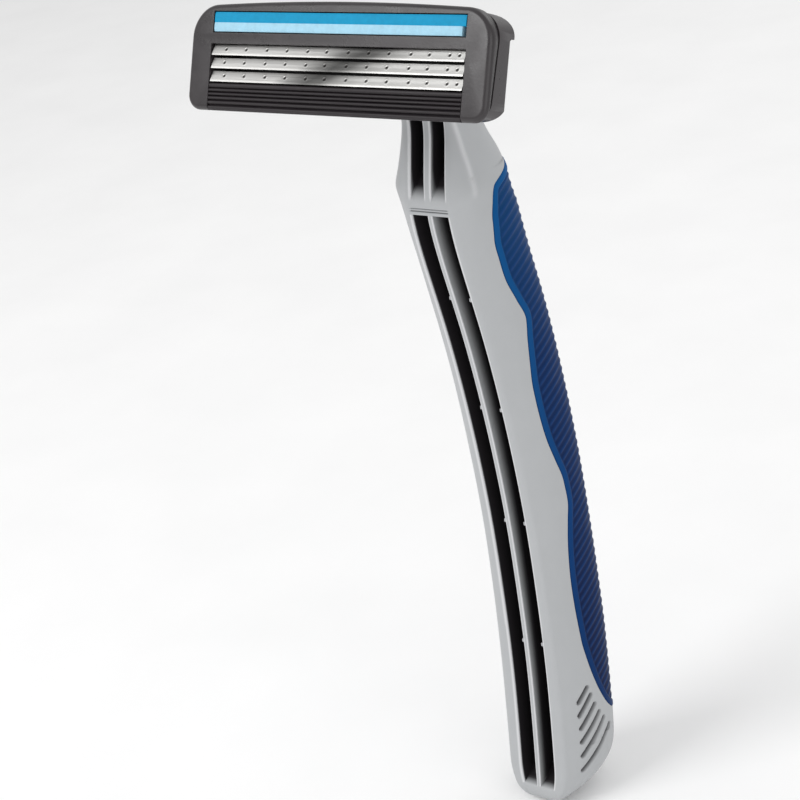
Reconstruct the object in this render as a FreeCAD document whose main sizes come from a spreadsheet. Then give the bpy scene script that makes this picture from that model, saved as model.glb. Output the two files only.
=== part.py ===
# Three-blade razor: curved handle with a soft grip, pivoting head with sprung blades.
#
# Row frame, millimetres: +Z up along the handle, X across, -Y towards the shaved face.
# The origin is the centre of the flat end of the handle.  The handle and the head's main
# outlines mirror across x = 0; the nibs and the lower strip's right end do not.
# Head parts are modelled in the head's own frame (x across, y up the shaving face, z out
# of it, origin at the centre of the shaving face) and share the placement HEAD.
import FreeCAD
import Part
import Sketcher
import math
import os

Vector = FreeCAD.Vector

# ---------------------------------------------------------------- driving dimensions
# Handle sections from the butt to the neck.  "front" is the y of the front line, the
# half widths are of the front flat, the ridge beside it and the widest place, and
# "tilt" is the angle in degrees by which the section rises towards the back.
STATION_KEYS = ("height", "front", "halffront", "halfridge", "ridgedeep", "halfwide",
                "deep", "tilt")
STATIONS = [
    (-3.00, -6.85, 4.40, 5.46, 1.56, 6.98, 13.10, 9.0),
    (6.00, -5.40, 4.38, 5.52, 1.54, 7.16, 12.95, 6.5),
    (13.00, -4.40, 4.36, 5.54, 1.50, 7.24, 12.60, 3.0),
    (21.00, -3.50, 4.25, 5.48, 1.48, 7.24, 12.35, 0.0),
    (31.00, -2.85, 4.08, 5.31, 1.48, 7.09, 12.35, 0.0),
    (41.00, -2.55, 3.92, 5.18, 1.47, 7.02, 12.25, 0.0),
    (51.00, -2.80, 3.75, 5.12, 1.47, 7.06, 12.25, 0.0),
    (61.00, -3.55, 3.59, 4.98, 1.48, 7.00, 12.35, 0.0),
    (71.00, -4.85, 3.45, 4.92, 1.48, 7.02, 12.38, 0.0),
    (79.00, -6.25, 3.35, 4.80, 1.50, 6.95, 12.40, 0.0),
    (84.00, -6.90, 3.34, 4.96, 1.50, 7.05, 12.20, 0.0),
    (86.50, -6.95, 3.39, 5.60, 1.80, 6.75, 11.85, 0.0),
    (88.60, -6.68, 3.44, 6.02, 1.62, 6.45, 11.45, 0.0),
    (91.00, -6.05, 3.46, 5.38, 1.45, 5.80, 10.35, 0.0),
    (94.00, -5.15, 3.48, 4.45, 0.90, 4.75, 8.45, 0.0),
    (97.00, -4.55, 3.50, 3.76, 0.45, 3.95, 6.80, 3.0),
    (98.70, -4.85, 3.42, 3.60, 0.42, 3.72, 5.90, 16.0),
    (99.90, -5.70, 3.25, 3.42, 0.40, 3.50, 5.00, 33.0),
    (100.80, -6.90, 3.05, 3.20, 0.38, 3.28, 4.30, 48.0),
]

# Grip edge seen from the side: (z, y) from the top of the back round to the foot.
GRIP_EDGE = [
    (92.60, 6.20), (91.70, 3.60), (90.00, 1.15), (88.40, -2.00), (86.70, -2.66),
    (84.40, -3.30), (81.80, -3.32), (79.10, -2.93), (76.30, -2.42), (73.20, -1.35),
    (70.10, -0.35), (67.40, -0.47), (64.60, -0.50), (61.90, -0.52), (59.00, -0.35),
    (56.10, -0.09), (53.10, 0.30), (50.00, 0.98), (46.70, 1.72), (43.70, 1.88),
    (41.00, 1.45), (38.20, 0.97), (35.40, 0.62), (32.50, 0.36), (29.60, 0.22),
    (26.60, 0.14), (23.50, 0.12), (20.30, 0.38), (16.90, 0.95), (12.90, 2.35),
    (10.60, 4.20), (9.00, 7.20), (8.20, 9.20),
]

# Slanted marks on each side near the foot: (y, z) of the upper end, then the lower end.
MARKS = [
    ((-0.41, 16.4), (-1.88, 14.75)), ((-0.12, 15.1), (-2.16, 12.8)),
    ((0.21, 13.5), (-2.29, 10.9)), ((0.73, 12.0), (-2.57, 8.9)),
    ((1.42, 10.7), (-2.85, 6.9)), ((2.45, 9.0), (-3.21, 4.8)),
]
NIB_HEIGHTS = (23.8, 41.7, 58.4, 74.4)

# Guard ridges from the blades down: y of the upper end, y of the lower end, crest z.
GUARD_RIDGES = [
    (-2.74, -3.26, -0.06), (-3.34, -3.72, -0.04), (-3.82, -4.14, -0.02),
    (-4.24, -4.62, 0.0), (-4.74, -5.16, -0.03), (-5.30, -5.80, -0.12),
]

# Yoke crossbar section: (y, z) from the bar's middle.
CROSSBAR = [(-1.6, -0.7), (-0.4, -1.4), (1.2, -0.5), (1.2, 0.9), (-0.2, 1.4), (-1.5, 1.0)]

DIMENSIONS = dict(
    # handle foot and grip
    grip_thick=1.25, butt_slope=9.0,
    butt_round_front=2.4, butt_round_back=2.4, butt_round_side=2.4,
    foot_front=-6.5, foot_back=6.62, foot_side=7.0,
    # slots in the front of the handle, one pair in its length and one in its neck
    channel_inner=0.37, channel_outer=2.65, channel_deep=7.2,
    channel_low=2.3, channel_high=85.9, channel_ramp_low=2.6, channel_ramp_high=0.6,
    neckslot_inner=0.62, neckslot_outer=2.45, neckslot_deep=3.6,
    neckslot_low=87.6, neckslot_high=98.6, neckslot_ramp_low=2.4, neckslot_ramp_high=0.8,
    nib_wide=0.30, nib_tall=0.5, nib_long=0.8, nib_inset=0.12,
    mark_wide=0.5, mark_deep=0.45,
    # yoke plug in the neck, and the middle of the yoke's crossbar
    plug_half=1.9, plug_thick=2.2, plug_long=3.4,
    crossbar_y=-9.3, crossbar_z=104.0,
    # head placement
    face_y=-19.0, face_z=109.0, face_turn=65.5,
    # head outline
    head_half=21.5, head_low=5.9, head_high=6.1, head_crown=6.74,
    head_topround=3.6, head_lowround=1.6, front_round=0.42, frame_block=1.9,
    part_high=1.62, part_low=0.70, part_span=7.0,
    window_half=18.25, window_high=1.78,
    strip_half=18.0, strip_low=3.17, strip_mid=4.2, strip_high=5.4,
    strip_gap=0.12, strip_seat=1.0, strip_proud=0.06, strip_short=0.45, strip_inset=0.08,
    # rear housing
    base_back=4.1, base_lip=5.0, base_lip_y=3.2, base_high=5.95, base_low=5.7,
    base_round=2.2,
    cavity_half=19.4, cavity_high=1.9, cavity_low=2.75, cavity_floor=3.4,
    shelf_deep=1.0,
    # pivot, in the head's frame
    pivot_up=-1.0, pivot_back=6.0, lug_near=7.95, lug_wide=1.8, lug_round=1.5,
    bore_rad=0.9, bore_deep=1.5, trunnion_rad=0.85, trunnion_end=9.35,
    arm_near=5.9, arm_far=7.85, arm_round=1.35, stem_half=2.6,
    # guard
    guard_half=18.2, guard_high=2.72, guard_low=5.88, guard_groove=0.28,
    # blades, their supports and springs
    blade_half=18.1, blade_wide=1.30, blade_thick=0.1, blade_slope=21.5,
    blade_edge_a=0.48, blade_edge_b=-1.04, blade_edge_c=-2.56,
    blade_edge_in=0.05, blade_bevel=0.22,
    flange_thick=0.25, flange_start=0.24, leg_thick=0.25, leg_low=2.6,
    ear_half=19.1, ear_high=1.42, support_half=18.0,
    finger_tip=11.6, finger_root=17.6, finger_thick=0.22, finger_wide=0.7,
    tongue_half=1.6, tongue_thick=0.35,
)
for index, values in enumerate(STATIONS):
    for key, value in zip(STATION_KEYS, values):
        DIMENSIONS["station_%d_%s" % (index, key)] = value
for index, (edge_z, edge_y) in enumerate(GRIP_EDGE):
    DIMENSIONS["grip_edge_%d_z" % index] = edge_z
    DIMENSIONS["grip_edge_%d_y" % index] = edge_y

doc = FreeCAD.newDocument("razor")
sheet = doc.addObject("Spreadsheet::Sheet", "Dims")
for row, (alias, value) in enumerate(DIMENSIONS.items(), 1):
    sheet.set("A%d" % row, str(value))
    sheet.setAlias("A%d" % row, alias)
doc.recompute()


class Dim(float):
    """A number that carries the spreadsheet expression it comes from."""

    def __new__(cls, value, text):
        self = super().__new__(cls, value)
        self.text = text
        return self

    def joined(self, value, sign, other):
        other_text = other.text if isinstance(other, Dim) else "(%r)" % float(other)
        return Dim(value, "(%s %s %s)" % (self.text, sign, other_text))

    def __neg__(self):
        return Dim(-float(self), "(-%s)" % self.text)

    def __add__(self, other):
        return self.joined(float(self) + float(other), "+", other)

    def __sub__(self, other):
        return self.joined(float(self) - float(other), "-", other)

    def __mul__(self, other):
        return self.joined(float(self) * float(other), "*", other)

    def __truediv__(self, other):
        return self.joined(float(self) / float(other), "/", other)

    __radd__ = __add__
    __rmul__ = __mul__


def size(alias):
    """Plain value of a driving dimension."""
    return float(sheet.get(alias))


def dim(alias):
    """Driving dimension that stays linked to the sheet in sketches and features."""
    return Dim(size(alias), "Dims." + alias)


# ---------------------------------------------------------------- sketches and features
pieces = []


def new_body(label):
    body = doc.addObject("PartDesign::Body", label)
    body.Label = label
    return body


def add_sketch(body, name, role, offset=0.0):
    sketch = body.newObject("Sketcher::SketchObject", name)
    origin_plane = next(f for f in body.Origin.OriginFeatures if f.Role == role)
    sketch.AttachmentSupport = [(origin_plane, "")]
    sketch.MapMode = "FlatFace"
    if offset:
        sketch.AttachmentOffset = FreeCAD.Placement(Vector(0, 0, offset), FreeCAD.Rotation())
    return sketch


def constrain(sketch, kind, *references, value):
    index = sketch.addConstraint(Sketcher.Constraint(kind, *references, float(value)))
    if isinstance(value, Dim):
        sketch.setExpression("Constraints[%d]" % index, value.text)


def fix_point(sketch, geometry, position, x, y):
    """Hold a point of a sketch element at x, y from the sketch origin."""
    constrain(sketch, "DistanceX", -1, 1, geometry, position, value=x)
    constrain(sketch, "DistanceY", -1, 1, geometry, position, value=y)


def add_line(sketch, start, end):
    sketch.addGeometry(Part.LineSegment(Vector(*start, 0), Vector(*end, 0)), False)


def add_arc(sketch, start, middle, end):
    points = [Vector(*point, 0) for point in (start, middle, end)]
    sketch.addGeometry(Part.Arc(*points), False)


def polygon(sketch, points):
    """Closed polyline with every corner held in place."""
    count = len(points)
    for i in range(count):
        add_line(sketch, points[i], points[(i + 1) % count])
    for i in range(count):
        sketch.addConstraint(Sketcher.Constraint("Coincident", i, 2, (i + 1) % count, 1))
    for i, (x, y) in enumerate(points):
        fix_point(sketch, i, 1, x, y)


def rectangle(sketch, x0, y0, x1, y1):
    polygon(sketch, [(x0, y0), (x1, y0), (x1, y1), (x0, y1)])


def extrude(body, kind, sketch, name, length, midplane, reverse):
    feature = body.newObject("PartDesign::" + kind, name)
    feature.Profile = sketch
    feature.Length = float(length)
    if isinstance(length, Dim):
        feature.setExpression("Length", length.text)
    feature.Midplane = midplane
    feature.Reversed = reverse
    doc.recompute()
    return feature


def pad(body, sketch, name, length, midplane=False, reverse=False):
    return extrude(body, "Pad", sketch, name, length, midplane, reverse)


def pocket(body, sketch, name, length, midplane=False, reverse=False):
    before = body.Tip.Shape.Volume
    feature = extrude(body, "Pocket", sketch, name, length, midplane, reverse)
    # guards against a sketch whose normal points away from the material
    if feature.Shape.isNull() or abs(feature.Shape.Volume - before) < 1e-6:
        feature.Reversed = not reverse
        doc.recompute()
    if feature.Shape.isNull() or not feature.Shape.Volume < before:
        raise RuntimeError("pocket cut nothing: " + name)


def side_bar(body, sketch_name, pad_name, points, half_length):
    """Bar of one side profile (y, z), running equally far to both sides of x = 0."""
    sketch = add_sketch(body, sketch_name, "YZ_Plane")
    polygon(sketch, points)
    pad(body, sketch, pad_name, 2 * half_length, midplane=True)


def face_pocket(body, sketch_name, pocket_name, corners, depth):
    """Rectangular pocket sunk from z = 0; corners are x0, y0, x1, y1."""
    sketch = add_sketch(body, sketch_name, "XY_Plane")
    rectangle(sketch, *corners)
    pocket(body, sketch, pocket_name, depth)


def fillet(body, name, base, test, radius):
    """Round the edges of base whose bounding boxes pass the test."""
    feature = body.newObject("PartDesign::Fillet", name)
    names = ["Edge%d" % i for i, edge in enumerate(base.Shape.Edges, 1) if test(edge.BoundBox)]
    feature.Base = (base, names)
    feature.Radius = float(radius)
    feature.setExpression("Radius", radius.text)
    doc.recompute()
    return feature


def place_on_head(body):
    body.Placement = HEAD
    pieces.append(body)


def add_shape(label, shape):
    piece = doc.addObject("Part::Feature", label)
    piece.Label = label
    piece.Shape = shape
    pieces.append(piece)


def largest_solid(shape):
    return max(shape.Solids, key=lambda solid: solid.Volume)


def closed_face(points):
    return Part.Face(Part.makePolygon(points + [points[0]]))


def lines_through(points):
    return [Part.makeLine(start, end) for start, end in zip(points, points[1:])]


def prism(points, x0, x1):
    """Solid of one (y, z) outline between two x values."""
    return closed_face([Vector(x0, y, z) for y, z in points]).extrude(Vector(x1 - x0, 0, 0))


# ---------------------------------------------------------------- shared places
HEAD = FreeCAD.Placement(Vector(0, size("face_y"), size("face_z")),
                         FreeCAD.Rotation(Vector(1, 0, 0), size("face_turn")))
PIVOT = HEAD.multVec(Vector(0, size("pivot_up"), -size("pivot_back")))
BAR_Y, BAR_Z = size("crossbar_y"), size("crossbar_z")

stations = [{key: size("station_%d_%s" % (i, key)) for key in STATION_KEYS}
            for i in range(len(STATIONS))]
neck = stations[-1]
NECK_Y = math.cos(math.radians(neck["tilt"]))
NECK_Z = math.sin(math.radians(neck["tilt"]))
NECK_END = Vector(0, neck["front"] + 0.5 * neck["deep"] * NECK_Y,
                  neck["height"] + 0.5 * neck["deep"] * NECK_Z)


def neck_plug():
    """Block down inside the neck from the middle of its end."""
    half, thick, length = size("plug_half"), size("plug_thick"), size("plug_long")
    block = Part.makeBox(2 * half, thick, length, Vector(-half, -thick / 2, -length))
    block.rotate(Vector(0, 0, 0), Vector(1, 0, 0), neck["tilt"])
    block.translate(NECK_END)
    return block


# ---------------------------------------------------------------- handle surface
def half_outline(station):
    """Half section as (x, depth) pairs, front centre to back centre."""
    front, ridge, wide = station["halffront"], station["halfridge"], station["halfwide"]
    ridge_deep, deep = station["ridgedeep"], station["deep"]
    points = [(0.0, 0.0), (front * 0.5, 0.0), (front - 0.30, 0.0), (front + 0.06, 0.16)]
    # straight flank out to the ridge
    for t in (0.45, 0.85):
        points.append((front + (ridge - front) * t, ridge_deep * t))
    # swelling side out to the widest place, at half depth
    for t in (0.25, 0.5, 0.75, 1.0):
        points.append((ridge + (wide - ridge) * math.sin(math.pi / 2 * t) ** 0.9,
                       ridge_deep + (0.5 * deep - ridge_deep) * t))
    # superelliptic back
    power = 2 / 2.3
    for t in (0.18, 0.36, 0.54, 0.70, 0.84, 0.93):
        angle = math.pi / 2 * t
        points.append((wide * math.cos(angle) ** power,
                       0.5 * deep + 0.5 * deep * math.sin(angle) ** power))
    points.append((0.0, deep))
    return points


def shrunk(points, inset):
    """Half outline moved inwards by inset, square to its local direction."""
    # mirrored neighbours beyond the two points on the centre line
    before = [(-points[1][0], points[1][1])] + points[:-1]
    after = points[1:] + [(-points[-2][0], points[-2][1])]
    moved = []
    for (x, depth), start, end in zip(points, before, after):
        along_x, along_depth = end[0] - start[0], end[1] - start[1]
        length = math.hypot(along_x, along_depth)
        moved.append((x - inset * along_depth / length, depth + inset * along_x / length))
    moved[0] = (0.0, moved[0][1])
    moved[-1] = (0.0, moved[-1][1])
    return moved


def station_points(station, inset=0.0):
    """Right half of one station's section in the row frame, front to back."""
    points = half_outline(station)
    if inset:
        points = shrunk(points, inset)
    tilt = math.radians(station["tilt"])
    return [Vector(x, station["front"] + depth * math.cos(tilt),
                   station["height"] + depth * math.sin(tilt)) for x, depth in points]


def loft(sections, inset=0.0):
    """Smooth solid through the sections, each a closed spline."""
    wires = []
    for station in sections:
        half = station_points(station, inset)
        ring = half + [Vector(-p.x, p.y, p.z) for p in half[-2:0:-1]]
        curve = Part.BSplineCurve()
        curve.interpolate(Points=ring, PeriodicFlag=True)
        wires.append(Part.Wire([curve.toShape()]))
    return Part.makeLoft(wires, True, False)


def front_y(z):
    """y of the handle's front line at a height."""
    for low, high in zip(stations, stations[1:]):
        if z <= high["height"]:
            t = (z - low["height"]) / (high["height"] - low["height"])
            return low["front"] + (high["front"] - low["front"]) * t
    return neck["front"]


def half_width(y, z):
    """Half width of the handle at a height and y, between the nearest stations."""
    rows = []
    for station in stations:
        points = station_points(station)
        rise = (y - points[0].y) * math.tan(math.radians(station["tilt"]))
        rows.append((points[0].z + rise, points))
    for (low_z, low_points), (high_z, high_points) in zip(rows, rows[1:]):
        if low_z <= z <= high_z:
            widths = []
            for points in (low_points, high_points):
                for p, q in zip(points, points[1:]):
                    if p.y <= y <= q.y:
                        widths.append(p.x + (q.x - p.x) * (y - p.y) / (q.y - p.y))
                        break
            return widths[0] + (widths[1] - widths[0]) * (z - low_z) / (high_z - low_z)
    raise RuntimeError("outside the handle")


def foot_corner_cutter(edge, radius, across):
    """Removes the square corner beyond a quarter round at the foot.

    edge is the outline's signed distance from the middle, along x when across is True
    and along y when it is False."""
    outward = 1 if edge > 0 else -1
    bend = 1 - math.sqrt(0.5)
    inner = edge - outward * radius

    def at(distance, height):
        return Vector(distance, 0, height) if across else Vector(0, distance, height)

    arc = Part.Arc(at(inner, 0), at(edge - outward * radius * bend, radius * bend),
                   at(edge, radius)).toShape()
    ring = [at(edge, radius), at(edge + outward * 4, radius), at(edge + outward * 4, -2),
            at(inner, -2), at(inner, 0)]
    sweep = Vector(0, 60, 0) if across else Vector(60, 0, 0)
    cutter = Part.Face(Part.Wire([arc] + lines_through(ring))).extrude(sweep)
    cutter.translate(sweep * -0.5)
    cutter.rotate(Vector(0, 0, 0), Vector(1, 0, 0), size("butt_slope"))
    return cutter


def build_handle_skin():
    """Whole handle, with its flat end rising towards the back and rounded there."""
    skin = loft(stations)
    below = Part.makeBox(60, 60, 30, Vector(-30, -30, -30))
    below.rotate(Vector(0, 0, 0), Vector(1, 0, 0), size("butt_slope"))
    skin = skin.cut(below)
    for edge, radius, across in (
            (size("foot_front"), size("butt_round_front"), False),
            (size("foot_back"), size("butt_round_back"), False),
            (size("foot_side"), size("butt_round_side"), True),
            (-size("foot_side"), size("butt_round_side"), True)):
        skin = skin.cut(foot_corner_cutter(edge, radius, across))
    return skin


def build_grip(skin):
    """The part of the handle's skin behind the wavy edge."""
    inner = loft(stations[1:-4], size("grip_thick"))
    edge = [Vector(0, size("grip_edge_%d_y" % i), size("grip_edge_%d_z" % i))
            for i in range(len(GRIP_EDGE))]
    curve = Part.BSplineCurve()
    curve.interpolate(edge)
    top, foot = edge[0], edge[-1]
    behind = 20
    border = lines_through([foot, Vector(0, behind, foot.z), Vector(0, behind, top.z), top])
    curtain = Part.Face(Part.Wire([curve.toShape()] + border)).extrude(Vector(30, 0, 0))
    curtain.translate(Vector(-15, 0, 0))
    return largest_solid(skin.common(curtain).cut(inner))


# ---------------------------------------------------------------- handle core
def slot_cutter(kind, x0, x1):
    """Slot with its floor at a fixed depth below the front line and sloping ends."""
    low, high, deep = [size(kind + end) for end in ("_low", "_high", "_deep")]
    floor_low = low + size(kind + "_ramp_low")
    floor_high = high - size(kind + "_ramp_high")
    overshoot = 3.0
    steps = max(3, int((high - low) / 6))
    heights = [floor_low + (floor_high - floor_low) * i / steps for i in range(steps + 1)]
    floor = [Vector(x0, front_y(z) + deep, z) for z in heights]
    curve = Part.BSplineCurve()
    curve.interpolate(floor)
    border = [floor[-1], Vector(x0, front_y(high), high),
              Vector(x0, front_y(high) - overshoot, high),
              Vector(x0, front_y(low) - overshoot, low),
              Vector(x0, front_y(low), low), floor[0]]
    wire = Part.Wire([curve.toShape()] + lines_through(border))
    return Part.Face(wire).extrude(Vector(x1 - x0, 0, 0))


def nib(wall, z):
    """Small block on the wall at x = wall, running slightly into it."""
    wide, tall = size("nib_wide"), size("nib_tall")
    corner = Vector(wall - wide, front_y(z) + size("nib_inset"), z - tall / 2)
    return Part.makeBox(wide + 0.2, size("nib_long"), tall, corner)


def mark_cutter(upper, lower, side):
    """Slanted bar whose inner face follows the handle's side at a fixed depth."""
    (y0, z0), (y1, z1) = upper, lower
    along_y, along_z = y1 - y0, z1 - z0
    scale = size("mark_wide") / 2 / math.hypot(along_y, along_z)
    off_y, off_z = -along_z * scale, along_y * scale
    stops = 4
    inner, outer = [], []
    for j in range(stops + 1):
        y, z = y0 + along_y * j / stops, z0 + along_z * j / stops
        half = half_width(y, z)
        inner.append(Vector(side * (half - size("mark_deep")), y + off_y, 0))
        outer.append(Vector(side * (half + 1.5), y + off_y, 0))
    wedge = closed_face(inner + outer[::-1]).extrude(Vector(0, 0, 60))
    bar = prism([(y0 + off_y, z0 + off_z), (y1 + off_y, z1 + off_z),
                 (y1 - off_y, z1 - off_z), (y0 - off_y, z0 - off_z)], 0, side * 12)
    return bar.common(wedge)


def build_core(skin, grip):
    core = largest_solid(skin.cut(grip))
    # slots on both sides of the centre rib
    for side in (1, -1):
        for kind in ("channel", "neckslot"):
            x0, x1 = sorted((side * size(kind + "_inner"), side * size(kind + "_outer")))
            cutter = slot_cutter(kind, x0, x1)
            if kind == "channel":
                # nibs stay on the +x wall of each channel, near the mouth
                for z in NIB_HEIGHTS:
                    cutter = cutter.cut(nib(x1, z))
            core = core.cut(cutter)
    for upper, lower in MARKS:
        for side in (1, -1):
            core = core.cut(mark_cutter(upper, lower, side))
    # socket for the yoke's plug
    return largest_solid(core.cut(neck_plug()))


# ---------------------------------------------------------------- return spring
def build_return_spring():
    """Leaf from the crossbar to the back of the head, above the pivot."""
    root = HEAD.inverse().multVec(Vector(0, BAR_Y - 1.5, BAR_Z + 0.6))
    thick = dim("tongue_thick")
    root_z = root.z + 0.02
    body = new_body("return_spring")
    side_bar(body, "TongueSide", "Tongue",
             [(root.y, root_z), (root.y + thick * 1.4, root_z), (1.35 + thick, -5.2),
              (2.25 + thick * 0.6, -4.45), (2.3, -4.14), (1.95, -4.14), (1.0, -5.15)],
             dim("tongue_half"))
    place_on_head(body)
    doc.recompute()
    return body


# ---------------------------------------------------------------- pivot yoke
def build_yoke(spring):
    """Plug, stem and crossbar, with two arms ending in eyes and outward pins."""
    half_thick = 1.25
    arm_near, arm_far = size("arm_near"), size("arm_far")
    stem_half, eye_radius = size("stem_half"), size("arm_round")
    stem = prism([(NECK_END.y - half_thick * NECK_Y, NECK_END.z - half_thick * NECK_Z),
                  (NECK_END.y + half_thick * NECK_Y, NECK_END.z + half_thick * NECK_Z),
                  (BAR_Y + 0.6, BAR_Z + 1.25), (BAR_Y - 0.8, BAR_Z - 1.3)],
                 -stem_half, stem_half)
    crossbar = prism([(BAR_Y + y, BAR_Z + z) for y, z in CROSSBAR], -arm_far, arm_far)
    yoke = neck_plug().fuse([stem, crossbar])

    along_y, along_z = BAR_Y - PIVOT.y, BAR_Z - PIVOT.z
    length = math.hypot(along_y, along_z)

    def beside(y, z, offset):
        return y - along_z / length * offset, z + along_y / length * offset

    arm_outline = [beside(PIVOT.y, PIVOT.z, eye_radius), beside(BAR_Y, BAR_Z, half_thick),
                   beside(BAR_Y, BAR_Z, -half_thick), beside(PIVOT.y, PIVOT.z, -eye_radius)]
    overlap = 0.3
    for side in (1, -1):
        x0, x1 = sorted((side * arm_near, side * arm_far))
        arm = prism(arm_outline, x0, x1)
        eye = Part.makeCylinder(eye_radius, x1 - x0, Vector(x0, PIVOT.y, PIVOT.z),
                                Vector(1, 0, 0))
        pin = Part.makeCylinder(size("trunnion_rad"), size("trunnion_end") - arm_far + overlap,
                                Vector(side * (arm_far - overlap), PIVOT.y, PIVOT.z),
                                Vector(side, 0, 0))
        yoke = yoke.fuse([arm, eye, pin])
    # the spring's root sits in a shallow seat in the crossbar
    return largest_solid(yoke.removeSplitter().cut(spring.Shape))


# ---------------------------------------------------------------- front frame
OPEN_LOW = -9  # y well below the head, where openings run out through its low side


def part_z(y):
    """Parting plane between front frame and rear housing, as z in the head's frame."""
    low, high, span = dim("part_low"), dim("part_high"), dim("part_span")
    return -(low + (high - low) * ((span + y) / (2 * span)))


def draw_head_outline(sketch):
    """Rectangle whose top edge is a shallow arc."""
    half, low, high = dim("head_half"), dim("head_low"), dim("head_high")
    crown = dim("head_crown")
    corners = [(-half, -low), (half, -low), (half, high), (-half, high)]
    add_line(sketch, corners[0], corners[1])
    add_line(sketch, corners[1], corners[2])
    add_arc(sketch, corners[2], (0, crown), corners[3])
    add_line(sketch, corners[3], corners[0])
    for i in range(4):
        sketch.addConstraint(Sketcher.Constraint("Coincident", i, 2, (i + 1) % 4, 1))
    for (geometry, position), corner in zip(((0, 1), (0, 2), (1, 2), (3, 1)), corners):
        fix_point(sketch, geometry, position, *corner)
    rise = crown - high
    constrain(sketch, "Radius", 2, value=(half * half + rise * rise) / (2 * rise))


def build_frame():
    """End caps, crowned top bar and a bar below the strip, in one piece."""
    body = new_body("cartridge_frame")
    thick = dim("frame_block")

    def upright(box):
        return abs(box.ZLength - thick) < 1e-6 and box.YLength < 1e-6

    sketch = add_sketch(body, "FrameOutline", "XY_Plane")
    draw_head_outline(sketch)
    tip = pad(body, sketch, "FrameBlock", thick, reverse=True)
    tip = fillet(body, "TopCorners", tip, lambda box: upright(box) and box.YMin > 0,
                 dim("head_topround"))
    tip = fillet(body, "LowCorners", tip, lambda box: upright(box) and box.YMin < -5,
                 dim("head_lowround"))
    fillet(body, "FrontRim", tip, lambda box: box.ZMax > -1e-6 and box.ZLength < 1e-6,
           dim("front_round"))
    sketch = add_sketch(body, "PartingSide", "YZ_Plane")
    polygon(sketch, [(-9, part_z(-9)), (9, part_z(9)), (9, -4), (-9, -4)])
    pocket(body, sketch, "PartingCut", 60, midplane=True)
    seat_half, gap = dim("strip_half") + dim("strip_gap"), dim("strip_gap")
    face_pocket(body, "StripSeat", "StripPocket",
                (-seat_half, dim("strip_low") - gap, seat_half, dim("strip_high") + gap),
                dim("strip_seat"))
    window = dim("window_half")
    face_pocket(body, "BladeWindow", "BladeOpening",
                (-window, OPEN_LOW, window, dim("window_high")), 5)
    place_on_head(body)


# ---------------------------------------------------------------- rear housing
def draw_corner_trims(sketch):
    """Outside of each rounded corner, as seen from the front."""
    half, margin = size("head_half"), 2
    for side in (1, -1):
        for up, edge_y, radius in ((1, size("base_high"), size("head_topround") - 0.1),
                                   (-1, -size("base_low"), size("head_lowround"))):
            outer_x, outer_y = side * (half + margin), edge_y + up * margin
            centre_x, centre_y = side * (half - radius), edge_y - up * radius
            middle = (centre_x + side * radius * math.sqrt(0.5),
                      centre_y + up * radius * math.sqrt(0.5))
            on_side, on_edge = (side * half, centre_y), (centre_x, edge_y)
            add_line(sketch, (outer_x, centre_y), (outer_x, outer_y))
            add_line(sketch, (outer_x, outer_y), (centre_x, outer_y))
            add_line(sketch, (centre_x, outer_y), on_edge)
            add_arc(sketch, on_edge, middle, on_side)
            add_line(sketch, on_side, (outer_x, centre_y))


def add_lug(body, side, tag):
    """Pivot lug on the housing's back, with a blind socket facing the middle."""
    near = side * size("lug_near")
    centre_y, centre_z, radius = size("pivot_up"), -size("pivot_back"), size("lug_round")
    root_z = -size("base_back") + 0.3
    low, high = centre_y - radius, centre_y + radius
    sketch = add_sketch(body, "Lug" + tag, "YZ_Plane", near)
    add_line(sketch, (low, centre_z), (low, root_z))
    add_line(sketch, (low, root_z), (high, root_z))
    add_line(sketch, (high, root_z), (high, centre_z))
    add_arc(sketch, (high, centre_z), (centre_y, centre_z - radius), (low, centre_z))
    pad(body, sketch, "LugPad" + tag, dim("lug_wide"), reverse=(side < 0))

    sketch = add_sketch(body, "Socket" + tag, "YZ_Plane", near)
    bore = dim("bore_rad")
    circle = Part.Circle(Vector(centre_y, centre_z, 0), Vector(0, 0, 1), float(bore))
    sketch.addGeometry(circle, False)
    constrain(sketch, "Radius", 0, value=bore)
    fix_point(sketch, 0, 3, dim("pivot_up"), -dim("pivot_back"))
    pocket(body, sketch, "SocketCut" + tag, dim("bore_deep"), reverse=(side > 0))


def build_housing():
    body = new_body("cartridge_base")
    low, high, bend = -dim("base_low"), dim("base_high"), dim("base_round")
    back, lip, lip_y = -dim("base_back"), -dim("base_lip"), dim("base_lip_y")
    side_bar(body, "HousingSide", "HousingBlock",
             [(low, part_z(low)), (low, back + bend), (low + bend * 0.3, back + bend * 0.3),
              (low + bend, back), (lip_y - 0.9, back), (lip_y, lip), (high - 0.5, lip),
              (high, lip + 0.5), (high, part_z(high))],
             dim("head_half"))
    sketch = add_sketch(body, "CornerTrim", "XY_Plane")
    draw_corner_trims(sketch)
    pocket(body, sketch, "CornerCuts", 60, midplane=True)
    cavity, cavity_low = dim("cavity_half"), -dim("cavity_low")
    face_pocket(body, "CavityOutline", "Cavity",
                (-cavity, cavity_low, cavity, dim("cavity_high")), dim("cavity_floor"))
    window = dim("window_half")
    face_pocket(body, "GuardShelf", "Shelf",
                (-window, OPEN_LOW, window, cavity_low + 0.1), dim("shelf_deep"))
    add_lug(body, 1, "Right")
    add_lug(body, -1, "Left")
    place_on_head(body)


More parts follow.
